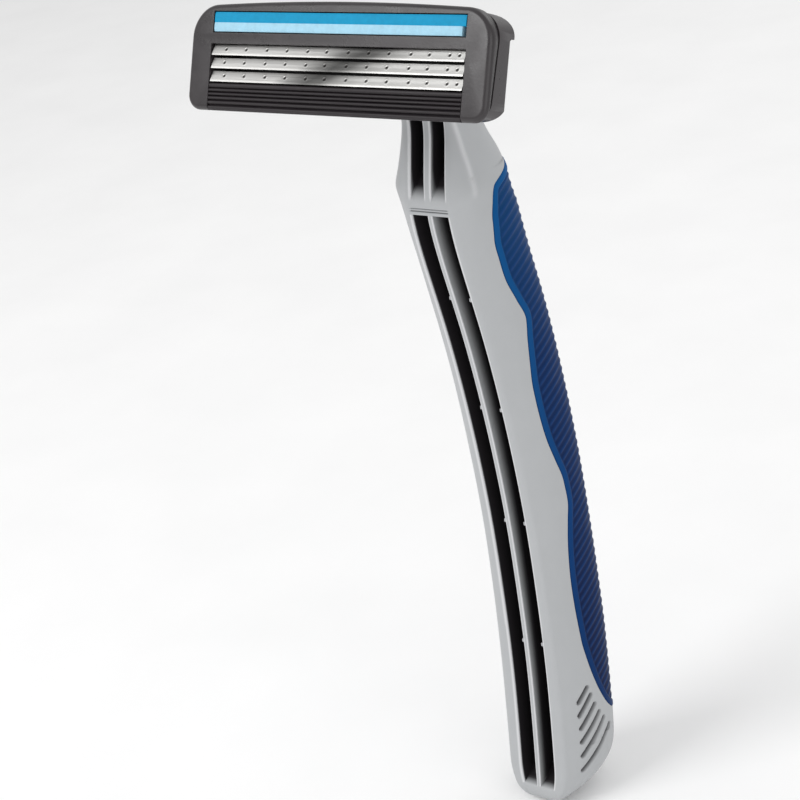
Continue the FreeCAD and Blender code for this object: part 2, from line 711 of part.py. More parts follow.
# ---------------------------------------------------------------- guard
def build_guard():
    """Ridged bar below the blades."""
    high, low, bottom = -dim("guard_high"), -dim("guard_low"), -dim("shelf_deep")
    groove = -dim("guard_groove") - 0.05
    crest_inset, groove_inset = 0.06, 0.02
    points = [(high, bottom), (high, GUARD_RIDGES[0][2] - 0.06)]
    for i, (upper, lower, crest) in enumerate(GUARD_RIDGES):
        points += [(upper - crest_inset, crest), (lower + crest_inset, crest)]
        if i + 1 < len(GUARD_RIDGES):
            next_upper = GUARD_RIDGES[i + 1][0]
            points += [(lower - groove_inset, groove), (next_upper + groove_inset, groove)]
    points += [(low, -0.25), (low, bottom)]
    body = new_body("guard_strip")
    side_bar(body, "GuardSide", "GuardBar", points, dim("guard_half"))
    place_on_head(body)


# ---------------------------------------------------------------- two-tone strip
def build_strip(label, low, high, right, crown_low, crown_high):
    """One half of the strip, with a slightly inset crown standing proud of the face."""
    left, inset = -dim("strip_half"), dim("strip_inset")
    body = new_body(label)
    sketch = add_sketch(body, "StripFace", "XY_Plane")
    rectangle(sketch, left, low, right, high)
    pad(body, sketch, "StripBlock", dim("strip_seat"), reverse=True)
    sketch = add_sketch(body, "StripProud", "XY_Plane")
    rectangle(sketch, left + inset, crown_low, right - inset, crown_high)
    pad(body, sketch, "StripCrown", dim("strip_proud"))
    place_on_head(body)


def build_strips():
    low, middle, high = dim("strip_low"), dim("strip_mid"), dim("strip_high")
    right, inset = dim("strip_half"), dim("strip_inset")
    build_strip("lube_strip_upper", middle, high, right, middle, high - inset)
    # the lower half stops short at its right end
    build_strip("lube_strip_lower", low, middle, right - dim("strip_short"),
                low + inset, middle)


# ---------------------------------------------------------------- blades and supports
def slope_function(name):
    """cos, sin or tan of the blade slope, linked to the sheet."""
    value = getattr(math, name)(math.radians(size("blade_slope")))
    return Dim(value, name + "(Dims.blade_slope*1deg)")


SLOPE_COS, SLOPE_SIN, SLOPE_TAN = [slope_function(name) for name in ("cos", "sin", "tan")]


def on_blade(edge_y, along, below):
    """Point at a distance along the blade from its edge and below its top surface."""
    return (edge_y + along * SLOPE_COS - below * SLOPE_SIN,
            -dim("blade_edge_in") - along * SLOPE_SIN - below * SLOPE_COS)


def build_blade(number, edge_y):
    wide, thick, bevel = dim("blade_wide"), dim("blade_thick"), dim("blade_bevel")
    body = new_body("blade_%d" % number)
    side_bar(body, "BladeSide", "BladeStrip",
             [on_blade(edge_y, 0, thick * 0.5), on_blade(edge_y, bevel, thick),
              on_blade(edge_y, wide, thick), on_blade(edge_y, wide, 0),
              on_blade(edge_y, bevel, 0)],
             dim("blade_half"))
    place_on_head(body)


def build_support(number, edge_y):
    """Flange under the blade, leg down from its upper end, and an ear at each side.

    Returns the y of the middle of the leg."""
    start, blade_thick = dim("flange_start"), dim("blade_thick")
    top_start = on_blade(edge_y, start, blade_thick)
    top_end = on_blade(edge_y, dim("blade_wide"), blade_thick)
    under_start = on_blade(edge_y, start, blade_thick + dim("flange_thick"))
    leg_low, leg_outer = -dim("leg_low"), top_end[0]
    leg_inner = leg_outer - dim("leg_thick")
    inner_z = under_start[1] - (leg_inner - under_start[0]) * SLOPE_TAN
    body = new_body("blade_support_%d" % number)
    side_bar(body, "SupportSide", "SupportStrip",
             [top_start, top_end, (leg_outer, leg_low), (leg_inner, leg_low),
              (leg_inner, inner_z), under_start],
             dim("support_half"))
    ear_high = -dim("ear_high")
    side_bar(body, "EarSide", "Ears",
             [(leg_inner, leg_low), (leg_outer, leg_low), (leg_outer, ear_high),
              (leg_inner, ear_high)],
             dim("ear_half"))
    place_on_head(body)
    return float(leg_outer) - size("leg_thick") / 2


def build_spring_finger(label, side, leg_y):
    """Finger rooted on the housing floor, rising towards the middle to meet the leg."""
    wide, thick = dim("finger_wide"), dim("finger_thick")
    tip, root = dim("finger_tip"), dim("finger_root")
    floor, top = -dim("cavity_floor"), -dim("leg_low") - 0.02
    flat = 1.0
    points = [(root, floor), (root, floor + thick), (root - flat, floor + thick),
              (tip + flat, top), (tip, top), (tip, top - thick), (tip + flat, top - thick),
              (root - flat, floor)]
    body = new_body(label)
    # the XZ plane's normal is -Y, so a reversed pad grows towards +Y
    sketch = add_sketch(body, "FingerSide", "XZ_Plane", -(leg_y - float(wide) / 2))
    polygon(sketch, [(side * x, z) for x, z in points])
    pad(body, sketch, "Finger", wide, reverse=True)
    place_on_head(body)


# ---------------------------------------------------------------- build
handle_skin = build_handle_skin()
grip_shape = build_grip(handle_skin)
add_shape("handle_core", build_core(handle_skin, grip_shape))
add_shape("rubber_grip", grip_shape)
return_spring = build_return_spring()
add_shape("pivot_yoke", build_yoke(return_spring))
build_frame()
build_housing()
build_guard()
build_strips()
for blade_number, edge_alias in enumerate(("blade_edge_a", "blade_edge_b", "blade_edge_c"), 1):
    build_blade(blade_number, dim(edge_alias))
    leg_middle = build_support(blade_number, dim(edge_alias))
    for finger_side, side_name in ((1, "right"), (-1, "left")):
        build_spring_finger("blade_spring_%d_%s" % (blade_number, side_name),
                            finger_side, leg_middle)

# ---------------------------------------------------------------- check and export
doc.recompute()
os.makedirs("parts", exist_ok=True)
bad = [o.Name for o in doc.Objects if any(word in o.State for word in ("Invalid", "Error"))]
if bad:
    raise RuntimeError("bad objects: " + ", ".join(bad))
for piece in pieces:
    shape = piece.Shape
    if shape.isNull() or not shape.isValid() or len(shape.Solids) != 1:
        raise RuntimeError("%s is not one valid solid" % piece.Label)
    shape.exportStep("parts/%s.step" % piece.Label)
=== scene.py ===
# A three-blade razor: curved slotted handle, soft ribbed grip, pivoting head.
# The handle stands along z with its front toward -y and its right side toward +x.
# The head is drawn in its own frame: x across, y up the shaving face, z out of it.
# Scene units are metres; lengths in the tables and mesh code are millimetres.
import math
import bpy
import bmesh
import numpy as np
from mathutils import Matrix, Vector

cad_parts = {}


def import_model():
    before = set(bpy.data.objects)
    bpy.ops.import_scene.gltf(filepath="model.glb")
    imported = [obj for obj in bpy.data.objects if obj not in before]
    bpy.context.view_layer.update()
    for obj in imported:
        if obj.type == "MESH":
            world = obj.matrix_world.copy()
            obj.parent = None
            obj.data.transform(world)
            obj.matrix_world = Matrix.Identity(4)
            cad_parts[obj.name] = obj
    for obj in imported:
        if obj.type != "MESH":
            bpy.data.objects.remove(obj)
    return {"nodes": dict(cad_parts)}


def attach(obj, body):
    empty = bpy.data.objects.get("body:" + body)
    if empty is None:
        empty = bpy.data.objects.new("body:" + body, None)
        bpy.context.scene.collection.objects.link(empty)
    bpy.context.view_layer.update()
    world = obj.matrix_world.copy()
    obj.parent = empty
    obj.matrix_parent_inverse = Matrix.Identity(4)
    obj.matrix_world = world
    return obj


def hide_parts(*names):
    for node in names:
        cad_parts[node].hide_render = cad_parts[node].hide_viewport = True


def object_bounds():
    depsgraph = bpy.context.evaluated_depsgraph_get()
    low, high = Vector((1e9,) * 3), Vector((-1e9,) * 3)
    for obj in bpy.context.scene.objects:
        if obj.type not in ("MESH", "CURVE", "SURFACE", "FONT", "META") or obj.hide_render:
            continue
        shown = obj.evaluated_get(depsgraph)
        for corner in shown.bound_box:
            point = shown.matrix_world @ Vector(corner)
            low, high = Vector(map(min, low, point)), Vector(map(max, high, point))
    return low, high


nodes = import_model()["nodes"]
cad_box = [list(c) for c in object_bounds()]
scene = bpy.context.scene

MM = 0.001
HEAD_ORIGIN = (0.0, -0.019, 0.109)
HEAD_TURN = math.radians(65.5)
HEAD = Matrix.Translation(Vector(HEAD_ORIGIN)) @ Matrix.Rotation(HEAD_TURN, 4, "X")


# ------------------------------------------------------------------ curves
def spans(knots, query):
    """Index of the knot span that holds each query."""
    return np.clip(np.searchsorted(knots, query) - 1, 0, len(knots) - 2)


def natural_spline(knots, values, query):
    """Natural cubic spline through columns of values."""
    count = len(knots)
    step = np.diff(knots)
    system = np.zeros((count, count))
    right = np.zeros(values.shape)
    system[0, 0] = system[-1, -1] = 1.0
    for i in range(1, count - 1):
        system[i, i - 1] = step[i - 1]
        system[i, i] = 2 * (step[i - 1] + step[i])
        system[i, i + 1] = step[i]
        right[i] = 6 * ((values[i + 1] - values[i]) / step[i]
                        - (values[i] - values[i - 1]) / step[i - 1])
    second = np.linalg.solve(system, right)
    i = spans(knots, query)
    step = (knots[i + 1] - knots[i])[:, None]
    low = (knots[i + 1] - query)[:, None] / step
    high = (query - knots[i])[:, None] / step
    return (low * values[i] + high * values[i + 1]
            + ((low ** 3 - low) * second[i] + (high ** 3 - high) * second[i + 1])
            * step ** 2 / 6)


def pchip(knots, values, query):
    """Shape-keeping cubic interpolation of columns of values."""
    step = np.diff(knots)[:, None]
    slope = np.diff(values, axis=0) / step
    weight_low = 2 * step[1:] + step[:-1]
    weight_high = step[1:] + 2 * step[:-1]
    # a flat span divides by zero here; its tangent is then set to zero
    with np.errstate(divide="ignore", invalid="ignore"):
        mean = (weight_low + weight_high) / (weight_low / slope[:-1] + weight_high / slope[1:])
    tangent = np.zeros_like(values)
    tangent[1:-1] = np.where(slope[:-1] * slope[1:] > 0, mean, 0.0)
    tangent[0] = slope[0]
    tangent[-1] = slope[-1]
    i = spans(knots, query)
    step = step[i]
    t = (query - knots[i])[:, None] / step
    return ((2 * t ** 3 - 3 * t ** 2 + 1) * values[i]
            + (t ** 3 - 2 * t ** 2 + t) * step * tangent[i]
            + (-2 * t ** 3 + 3 * t ** 2) * values[i + 1]
            + (t ** 3 - t ** 2) * step * tangent[i + 1])


def smooth(t):
    """Smooth step from 0 to 1."""
    t = np.clip(t, 0.0, 1.0)
    return t * t * (3 - 2 * t)


def round_rise(t):
    """Quarter-circle rise from 0 to 1, steep at first."""
    return np.sqrt(1 - (1 - np.clip(t, 0, 1)) ** 2)


def arc(centre, radii, start, end, count):
    """Points on an ellipse between two angles in degrees; a negative radius mirrors it."""
    return [(centre[0] + radii[0] * math.cos(math.radians(angle)),
             centre[1] + radii[1] * math.sin(math.radians(angle)))
            for angle in np.linspace(start, end, count)]


def sample(rows, where):
    """Rows read at fractional indices."""
    i = np.clip(np.floor(where).astype(int), 0, len(rows) - 2)
    part = (where - i)[:, None]
    return rows[i] * (1 - part) + rows[i + 1] * part


def normals_2d(points):
    """Unit normals to the right of a polyline's run."""
    run = np.gradient(points, axis=0)
    normal = np.stack([run[:, 1], -run[:, 0]], axis=-1)
    return normal / np.linalg.norm(normal, axis=1, keepdims=True)


# ------------------------------------------------------------------ meshes and objects
def link_object(name, mesh):
    obj = bpy.data.objects.new(name, mesh)
    scene.collection.objects.link(obj)
    return obj


def shade_smooth(mesh):
    mesh.polygons.foreach_set("use_smooth", np.ones(len(mesh.polygons), dtype=bool))


def register(obj, body, replaced=None):
    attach(obj, body)
    if replaced:
        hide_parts(replaced)


def make(name, verts, faces, body, material, replaced=None, sharp=0, matrix=None):
    """Smooth-shaded object from millimetre vertices; sharp is an edge angle in degrees."""
    mesh = bpy.data.meshes.new(name)
    points = np.asarray(verts, float) * MM
    mesh.from_pydata([tuple(p) for p in points], [], [tuple(int(i) for i in f) for f in faces])
    if matrix is not None:
        mesh.transform(matrix)
    mesh.materials.append(material)
    shade_smooth(mesh)
    mesh.update()
    if sharp:
        mesh.set_sharp_from_angle(angle=math.radians(sharp))
    mesh.validate()
    obj = link_object(name, mesh)
    register(obj, body, replaced)
    return obj


def point_attribute(obj, name, values):
    attribute = obj.data.attributes.new(name, "FLOAT", "POINT")
    attribute.data.foreach_set("value", np.asarray(values, dtype=np.float32))


def bevel(obj, width, segments, angle=30.0):
    """Round the edges sharper than an angle in degrees."""
    modifier = obj.modifiers.new("bevel", "BEVEL")
    modifier.width = width * MM
    modifier.segments = segments
    modifier.limit_method = "ANGLE"
    modifier.angle_limit = math.radians(angle)
    modifier.harden_normals = True
    modifier.use_clamp_overlap = True


def grid_faces(rows, cols, wrap=False, flip=False):
    row = np.arange(rows - 1)[:, None] * cols
    col = np.arange(cols if wrap else cols - 1)[None, :]
    after = (col + 1) % cols
    quads = np.stack([row + col, row + after, row + cols + after, row + cols + col], axis=-1)
    quads = quads.reshape(-1, 4)
    return quads[:, ::-1] if flip else quads


def shell_faces(rows, cols):
    """Two grids, outer then inner, closed along all four borders."""
    inner = rows * cols
    faces = list(grid_faces(rows, cols)) + list(grid_faces(rows, cols, flip=True) + inner)

    def border(a, b):
        faces.append((a, b, b + inner, a + inner))

    for i in range(rows - 1):
        first, after = i * cols, (i + 1) * cols
        border(first, after)
        border(after + cols - 1, first + cols - 1)
    for j in range(cols - 1):
        last = (rows - 1) * cols + j
        # listed so the face starts at its higher column
        faces.append((j + 1, j, j + inner, j + 1 + inner))
        border(last, last + 1)
    return faces


def with_mirror(half, closed=False):
    """Right half rows carried on over the left; a closed ring shares its front column."""
    other = half[:, -2:0:-1] if closed else half[:, -2::-1]
    if half.ndim == 3:
        other = other * (-1, 1, 1)
    return np.concatenate([half, other], axis=1)


def box(x0, x1, y0, y1, z0, z1):
    verts = [(x, y, z) for x in (x0, x1) for y in (y0, y1) for z in (z0, z1)]
    faces = [(0, 1, 3, 2), (4, 6, 7, 5), (0, 4, 5, 1), (2, 3, 7, 6), (0, 2, 6, 4), (1, 5, 7, 3)]
    return verts, faces


def extrude(loop, axis, low, high):
    """Solid from a closed 2D loop drawn across an axis (0, 1 or 2)."""
    count = len(loop)
    verts = [(*p[:axis], level, *p[axis:]) for level in (low, high) for p in loop]
    faces = [tuple(range(count))[::-1], tuple(range(count, 2 * count))]
    for i in range(count):
        j = (i + 1) % count
        faces.append((i, j, count + j, count + i))
    return verts, faces


# ------------------------------------------------------------------ materials
class Shader:
    """A material with one Principled shader, and short ways to add nodes to it."""

    def __init__(self, name):
        self.material = bpy.data.materials.new(name)
        self.material.use_nodes = True
        self.tree = self.material.node_tree
        self.tree.nodes.clear()
        output = self.add("ShaderNodeOutputMaterial")
        self.bsdf = self.add("ShaderNodeBsdfPrincipled")
        self.tree.links.new(self.bsdf.outputs[0], output.inputs[0])

    def add(self, kind):
        return self.tree.nodes.new(kind)

    def feed(self, socket, value):
        """Link a node output to a socket, or set a number or a colour."""
        if isinstance(value, bpy.types.NodeSocket):
            self.tree.links.new(value, socket)
        elif socket.type == "RGBA":
            socket.default_value = (*value, 1.0)
        else:
            socket.default_value = value

    def set(self, **values):
        """Feed Principled inputs; underscores stand for spaces."""
        for name, value in values.items():
            self.feed(self.bsdf.inputs[name.replace("_", " ")], value)

    def coords(self, scale=(1, 1, 1)):
        texture = self.add("ShaderNodeTexCoord")
        mapping = self.add("ShaderNodeMapping")
        mapping.inputs["Scale"].default_value = scale
        self.tree.links.new(texture.outputs["Object"], mapping.inputs["Vector"])
        return mapping.outputs["Vector"]

    def object_xyz(self):
        texture = self.add("ShaderNodeTexCoord")
        split = self.add("ShaderNodeSeparateXYZ")
        self.tree.links.new(texture.outputs["Object"], split.inputs[0])
        return split.outputs

    def attribute(self, name):
        attribute = self.add("ShaderNodeAttribute")
        attribute.attribute_name = name
        return attribute.outputs["Fac"]

    def noise(self, vector, scale, detail, roughness=0.5):
        texture = self.add("ShaderNodeTexNoise")
        texture.inputs["Scale"].default_value = scale
        texture.inputs["Detail"].default_value = detail
        texture.inputs["Roughness"].default_value = roughness
        self.tree.links.new(vector, texture.inputs["Vector"])
        return texture.outputs["Fac"]

    def ramp(self, factor, stops):
        """Colour ramp from (position, colour or grey level) stops."""
        ramp = self.add("ShaderNodeValToRGB")
        elements = ramp.color_ramp.elements
        while len(elements) < len(stops):
            elements.new(0.5)
        for element, (position, colour) in zip(elements, stops):
            element.position = position
            element.color = (*(colour if isinstance(colour, tuple) else (colour,) * 3), 1.0)
        self.tree.links.new(factor, ramp.inputs["Fac"])
        return ramp.outputs["Color"]

    def spread(self, factor, low, high, margin=0.3):
        """Ramp from low to high over the middle of a noise, less a margin at each end."""
        return self.ramp(factor, [(margin, low), (1 - margin, high)])

    def mix(self, factor, first, second, mode="MIX"):
        mixer = self.add("ShaderNodeMix")
        mixer.data_type = "RGBA"
        mixer.blend_type = mode
        # 6, 7 and output 2 are the colour sockets of this node
        for index, value in ((0, factor), (6, first), (7, second)):
            self.feed(mixer.inputs[index], value)
        return mixer.outputs[2]

    def scale(self, value, factor, add=None, clamp=False):
        """value * factor, or value * factor + add."""
        maths = self.add("ShaderNodeMath")
        maths.operation = "MULTIPLY" if add is None else "MULTIPLY_ADD"
        maths.use_clamp = clamp
        self.feed(maths.inputs[0], value)
        self.feed(maths.inputs[1], factor)
        if add is not None:
            self.feed(maths.inputs[2], add)
        return maths.outputs[0]

    def bump(self, height, strength, distance):
        bump = self.add("ShaderNodeBump")
        bump.inputs["Strength"].default_value = strength
        bump.inputs["Distance"].default_value = distance
        self.tree.links.new(height, bump.inputs["Height"])
        self.set(Normal=bump.outputs[0])


def srgb(*levels):
    """Linear colour from 0-255 sRGB levels."""
    return tuple(c / 12.92 if c <= 0.04045 else ((c + 0.055) / 1.055) ** 2.4
                 for c in (level / 255.0 for level in levels))


def shade(colour, factor):
    return tuple(min(1, c * factor) for c in colour)


def plastic(name, colour, variation, roughness, grain=0.12, specular=0.5):
    """Moulded plastic: fine grain, faint mottling, uneven polish."""
    shader = Shader(name)
    place = shader.coords()
    broad = shader.noise(place, scale=60.0, detail=3.0)
    medium = shader.noise(place, scale=420.0, detail=4.0)
    tiny = shader.noise(place, scale=3600.0, detail=2.0)
    dark, light = shade(colour, 1 - variation), shade(colour, 1 + variation)
    base = shader.spread(broad, dark, light)
    base = shader.mix(0.35, base, shader.ramp(medium, [(0.35, dark), (0.65, light)]))
    shader.set(Base_Color=base)
    shader.set(Roughness=shader.ramp(medium, [(0.3, roughness[0]), (0.7, roughness[1])]),
               Specular_IOR_Level=specular)
    shader.bump(tiny, strength=grain, distance=0.00004)
    return shader


def handle_material():
    """Light grey moulding: painted shade makes it dark and dull in the channels, and a painted
    highlight lightens the fine edges.
    """
    shader = plastic("handle_plastic", srgb(174, 176, 178), variation=0.03,
                     roughness=(0.42, 0.54), specular=0.4)
    base = shader.bsdf.inputs["Base Color"].links[0].from_socket
    painted_highlight_colour, painted_shade_colour = srgb(232, 232, 234), (0.011, 0.008, 0.010)
    # painted highlight along the fine edges, then painted shade going to near black deep in the slots
    base = shader.mix(shader.scale(shader.attribute("edge"), factor=0.55), base, painted_highlight_colour)
    base = shader.mix(shader.scale(shader.attribute("deep"), factor=0.97), base, painted_shade_colour)
    shader.set(Base_Color=base)
    shine = shader.scale(shader.attribute("deep"), factor=-0.38, add=0.4)
    shader.set(Specular_IOR_Level=shine)
    return shader.material


# painted reflection, a dark band across the blades: (place along the slanted coordinate, brightness)
REFLECTION_RAMP = [(0.0, 0.80), (0.10, 0.97), (0.30, 0.90), (0.42, 0.80), (0.49, 0.34), (0.545, 0.17),
        (0.60, 0.24), (0.66, 0.62), (0.74, 0.95), (1.0, 1.0)]
BAND_LEAN = -2.53  # x shift per unit of z
BAND_WOBBLE = 0.0016  # metres
BAND_SCALE = 25.0  # ramp lengths per metre
BAND_START = 0.5 + BAND_SCALE * (0.27577 - 0.0008)


def steel(name, colour, roughness, reflection_band=False):
    """Steel brushed along x; the blade steel also has a painted reflection, a dark band across it,
    and dark weld marks.
    """
    shader = Shader(name)
    lines = shader.noise(shader.coords((60.0, 6000.0, 6000.0)),
                         scale=1.0, detail=4.0, roughness=0.6)
    fine = shader.noise(shader.coords((200.0, 14000.0, 14000.0)), scale=1.0, detail=2.0)
    base = shader.spread(lines, shade(colour, 0.88), colour)
    if reflection_band:
        # painted reflection: a dark slanted band multiplied into the blade colour
        place = shader.object_xyz()
        along = shader.scale(place["Z"], factor=BAND_LEAN, add=place["X"])
        wobble = shader.noise(shader.coords(), scale=160.0, detail=3.0)
        along = shader.scale(wobble, factor=BAND_WOBBLE, add=along)
        along = shader.scale(along, factor=BAND_SCALE, add=BAND_START, clamp=True)
        base = shader.mix(1.0, base, shader.ramp(along, REFLECTION_RAMP), mode="MULTIPLY")
        base = shader.mix(shader.attribute("weld"), base, (0.02, 0.018, 0.018))
    shader.set(Base_Color=base, Metallic=1.0,
               Roughness=shader.spread(fine, roughness * 0.8, roughness * 1.3),
               Anisotropic=0.3)
    shader.bump(lines, strength=0.06, distance=0.00001)
    return shader.material


def grip_material():
    """Soft blue elastomer: smooth rim, darker ribbed field, bluer near the head, painted highlight on
    the rib crests.
    """
    shader = Shader("soft_grip")
    rim = shader.attribute("rim")
    # 0 to 1 over the lowest 100 mm
    height = shader.scale(shader.object_xyz()["Z"], factor=10.0, clamp=True)
    field_colour = shader.ramp(height, [(0.10, srgb(6, 14, 52)), (0.35, srgb(4, 26, 68)),
                                        (0.65, srgb(0, 34, 80)), (0.90, srgb(0, 58, 106))])
    rim_colour = shader.ramp(height, [(0.08, srgb(2, 40, 90)), (0.4, srgb(0, 56, 112)),
                                      (0.9, srgb(0, 80, 138))])
    base = shader.mix(rim, field_colour, rim_colour)
    place = shader.coords()
    mottle = shader.noise(place, scale=500.0, detail=4.0)
    base = shader.mix(shader.scale(mottle, factor=0.10), base, (0.05, 0.10, 0.22))
    # painted highlight along the rib crests
    crest = shader.scale(shader.attribute("crest"), factor=0.55)
    base = shader.mix(crest, base, srgb(30, 66, 122))
    shader.set(Base_Color=base, Roughness=shader.spread(mottle, 0.42, 0.56),
               Specular_IOR_Level=0.08)
    grain = shader.noise(place, scale=3500.0, detail=2.0)
    shader.bump(grain, strength=0.15, distance=0.00004)
    return shader.material


def strip_material(name, colour):
    """Waxy moulded strip: grainy, slightly translucent."""
    shader = Shader(name)
    place = shader.coords()
    grain = shader.noise(place, scale=1400.0, detail=5.0, roughness=0.7)
    patches = shader.noise(place, scale=250.0, detail=3.0)
    base = shader.spread(grain, shade(colour, 0.88), shade(colour, 1.08))
    base = shader.mix(0.25, base, shader.spread(patches, shade(colour, 0.9), colour))
    shader.set(Base_Color=base, Roughness=0.6, Specular_IOR_Level=0.2,
               Subsurface_Weight=0.08, Subsurface_Radius=(0.0006, 0.0008, 0.001))
    shader.bump(grain, strength=0.3, distance=0.00005)
    return shader.material


HANDLE_PLASTIC = handle_material()
NIB_PLASTIC = plastic("nib_plastic", srgb(170, 171, 174), variation=0.03,
                      roughness=(0.42, 0.54), specular=0.4).material
HEAD_PLASTIC = plastic("head_plastic", srgb(47, 43, 45), variation=0.25,
                       roughness=(0.24, 0.38), grain=0.2).material
HOUSING_PLASTIC = plastic("housing_plastic", srgb(58, 54, 56), variation=0.2,
                          roughness=(0.26, 0.40), grain=0.2).material
YOKE_PLASTIC = plastic("yoke_plastic", srgb(60, 56, 59), variation=0.08,
                       roughness=(0.3, 0.45)).material
GUARD_RUBBER = plastic("guard_rubber", srgb(38, 33, 36), variation=0.12,
                       roughness=(0.4, 0.6), grain=0.25, specular=0.35).material
GRIP_RUBBER = grip_material()
STRIP_DEEP = strip_material("strip_deep", srgb(14, 146, 190))
STRIP_PALE = strip_material("strip_pale", srgb(164, 208, 228))
BLADE_STEEL = steel("blade_steel", (0.60, 0.595, 0.58), roughness=0.36, reflection_band=True)
# support and spring steel kept dark as painted shade, so their parts seen between and under the
# blades stay dark
SHADED_SUPPORT_STEEL = steel("support_steel", (0.10, 0.095, 0.095), roughness=0.45)
SHADED_SPRING_STEEL = steel("spring_steel", (0.16, 0.155, 0.16), roughness=0.4)

# ------------------------------------------------------------------ handle surface
# height, front y, front half width, ridge half width, ridge depth, half width, depth,
# tilt in degrees; depths run back from the front
STATIONS = np.array([
    (-3.0, -6.85, 4.40, 5.46, 1.56, 6.98, 13.10, 9), (6.0, -5.40, 4.38, 5.52, 1.54, 7.16, 12.95, 6.5),
    (13.0, -4.40, 4.36, 5.54, 1.50, 7.24, 12.60, 3), (21.0, -3.50, 4.25, 5.48, 1.48, 7.24, 12.35, 0),
    (31.0, -2.85, 4.08, 5.31, 1.48, 7.09, 12.35, 0), (41.0, -2.55, 3.92, 5.18, 1.47, 7.02, 12.25, 0),
    (51.0, -2.80, 3.75, 5.12, 1.47, 7.06, 12.25, 0), (61.0, -3.55, 3.59, 4.98, 1.48, 7.00, 12.35, 0),
    (71.0, -4.85, 3.45, 4.92, 1.48, 7.02, 12.38, 0), (79.0, -6.25, 3.35, 4.80, 1.50, 6.95, 12.40, 0),
    (84.0, -6.90, 3.34, 4.96, 1.50, 7.05, 12.20, 0), (86.5, -6.95, 3.39, 5.60, 1.80, 6.75, 11.85, 0),
    (88.6, -6.68, 3.44, 6.02, 1.62, 6.45, 11.45, 0), (91.0, -6.05, 3.46, 5.38, 1.45, 5.80, 10.35, 0),
    (94.0, -5.15, 3.48, 4.45, 0.90, 4.75, 8.45, 0), (97.0, -4.55, 3.50, 3.76, 0.45, 3.95, 6.80, 3),
    (98.7, -4.85, 3.42, 3.60, 0.42, 3.72, 5.90, 16), (99.9, -5.70, 3.25, 3.42, 0.40, 3.50, 5.00, 33),
    (100.8, -6.90, 3.05, 3.20, 0.38, 3.28, 4.30, 48),
])
# grip edge seen from the side, upward: (height, y)
GRIP_EDGE = np.array([
    (8.20, 9.20), (9.00, 7.20), (10.60, 4.20), (12.90, 2.35), (16.90, 0.95), (20.30, 0.38),
    (23.50, 0.12), (26.60, 0.14), (29.60, 0.22), (32.50, 0.36), (35.40, 0.62), (38.20, 0.97),
    (41.00, 1.45), (43.70, 1.88), (46.70, 1.72), (50.00, 0.98), (53.10, 0.30), (56.10, -0.09),
    (59.00, -0.35), (61.90, -0.52), (64.60, -0.50), (67.40, -0.47), (70.10, -0.35),
    (73.20, -1.35), (76.30, -2.42), (79.10, -2.93), (81.80, -3.32), (84.40, -3.30),
    (86.60, -2.80), (88.25, -2.00), (89.30, 0.95), (89.95, 3.30), (90.45, 5.90)])
BACK_ROUND = 2 / 2.3  # superellipse power of the back half


def half_controls(front, ridge, ridge_depth, wide, depth):
    """Control points (x, depth) of the right half outline, front middle to back middle."""
    points = [(0.0, 0.0), (front * 0.5, 0.0), (front - 0.30, 0.0), (front + 0.06, 0.16)]
    for t in (0.45, 0.85):
        points.append((front + (ridge - front) * t, ridge_depth * t))
    for t in (0.25, 0.5, 0.75, 1.0):
        points.append((ridge + (wide - ridge) * math.sin(math.pi / 2 * t) ** 0.9,
                       ridge_depth + (0.5 * depth - ridge_depth) * t))
    for t in (0.18, 0.36, 0.54, 0.70, 0.84, 0.93):
        angle = math.pi / 2 * t
        points.append((wide * math.cos(angle) ** BACK_ROUND,
                       0.5 * depth + 0.5 * depth * math.sin(angle) ** BACK_ROUND))
    points.append((0.0, depth))
    return np.array(points)


def outline_rows(heights):
    """For each height: the fine right half outline (x, depth), front y and tilt."""
    stations = pchip(STATIONS[:, 0], STATIONS[:, 1:], heights)
    stations[:, :2] = natural_spline(STATIONS[:, 0], STATIONS[:, 1:3], heights)
    rows = []
    for station in stations:
        controls = half_controls(*station[1:6])
        # three mirrored points at each end keep the curve square to the middle plane
        mirror = controls * (-1, 1)
        ring = np.vstack([mirror[3:0:-1], controls, mirror[-2:-5:-1]])
        chord = np.concatenate([[0], np.cumsum(np.hypot(*np.diff(ring, axis=0).T))])
        fine = natural_spline(chord, ring, np.linspace(chord[3], chord[-4], 241))
        fine[0, 0] = fine[-1, 0] = 0.0
        rows.append(fine)
    return np.array(rows), stations[:, 0], np.radians(stations[:, 6])


def to_xyz(outline, front_y, height, tilt):
    x, depth = outline[:, 0], outline[:, 1]
    return np.stack([x, front_y + depth * np.cos(tilt), height + depth * np.sin(tilt)], axis=-1)


def grip_start(outline, front_y, height, tilt):
    """Fractional index along an outline where the grip starts, or None."""
    skip = 60  # leaves out the front face
    _, y, z = to_xyz(outline, front_y, height, tilt).T
    beyond = y - pchip(GRIP_EDGE[:, 0], GRIP_EDGE[:, 1:2], z)[:, 0]
    beyond = np.where((z > GRIP_EDGE[-1, 0]) | (z < GRIP_EDGE[0, 0]), -1.0, beyond)
    crossings = np.where((beyond[skip:-1] < 0) & (beyond[skip + 1:] >= 0))[0]
    if not len(crossings):
        return None
    i = crossings[0] + skip
    return i + beyond[i] / (beyond[i] - beyond[i + 1])


# ------------------------------------------------------------------ handle shell
FOOT = -1.03
FOOT_TILT = math.radians(9.0)
FOOT_FRONT_R, FOOT_BACK_R, FOOT_SIDE_R = 3.2, 1.3, 6.6
# pair of channels up the front, either side of a middle bar (inner and outer are x)
CHANNEL_INNER, CHANNEL_OUTER, CHANNEL_DEPTH = 0.35, 2.68, 7.2
CHANNEL_LOW, CHANNEL_HIGH = 2.25, 85.9
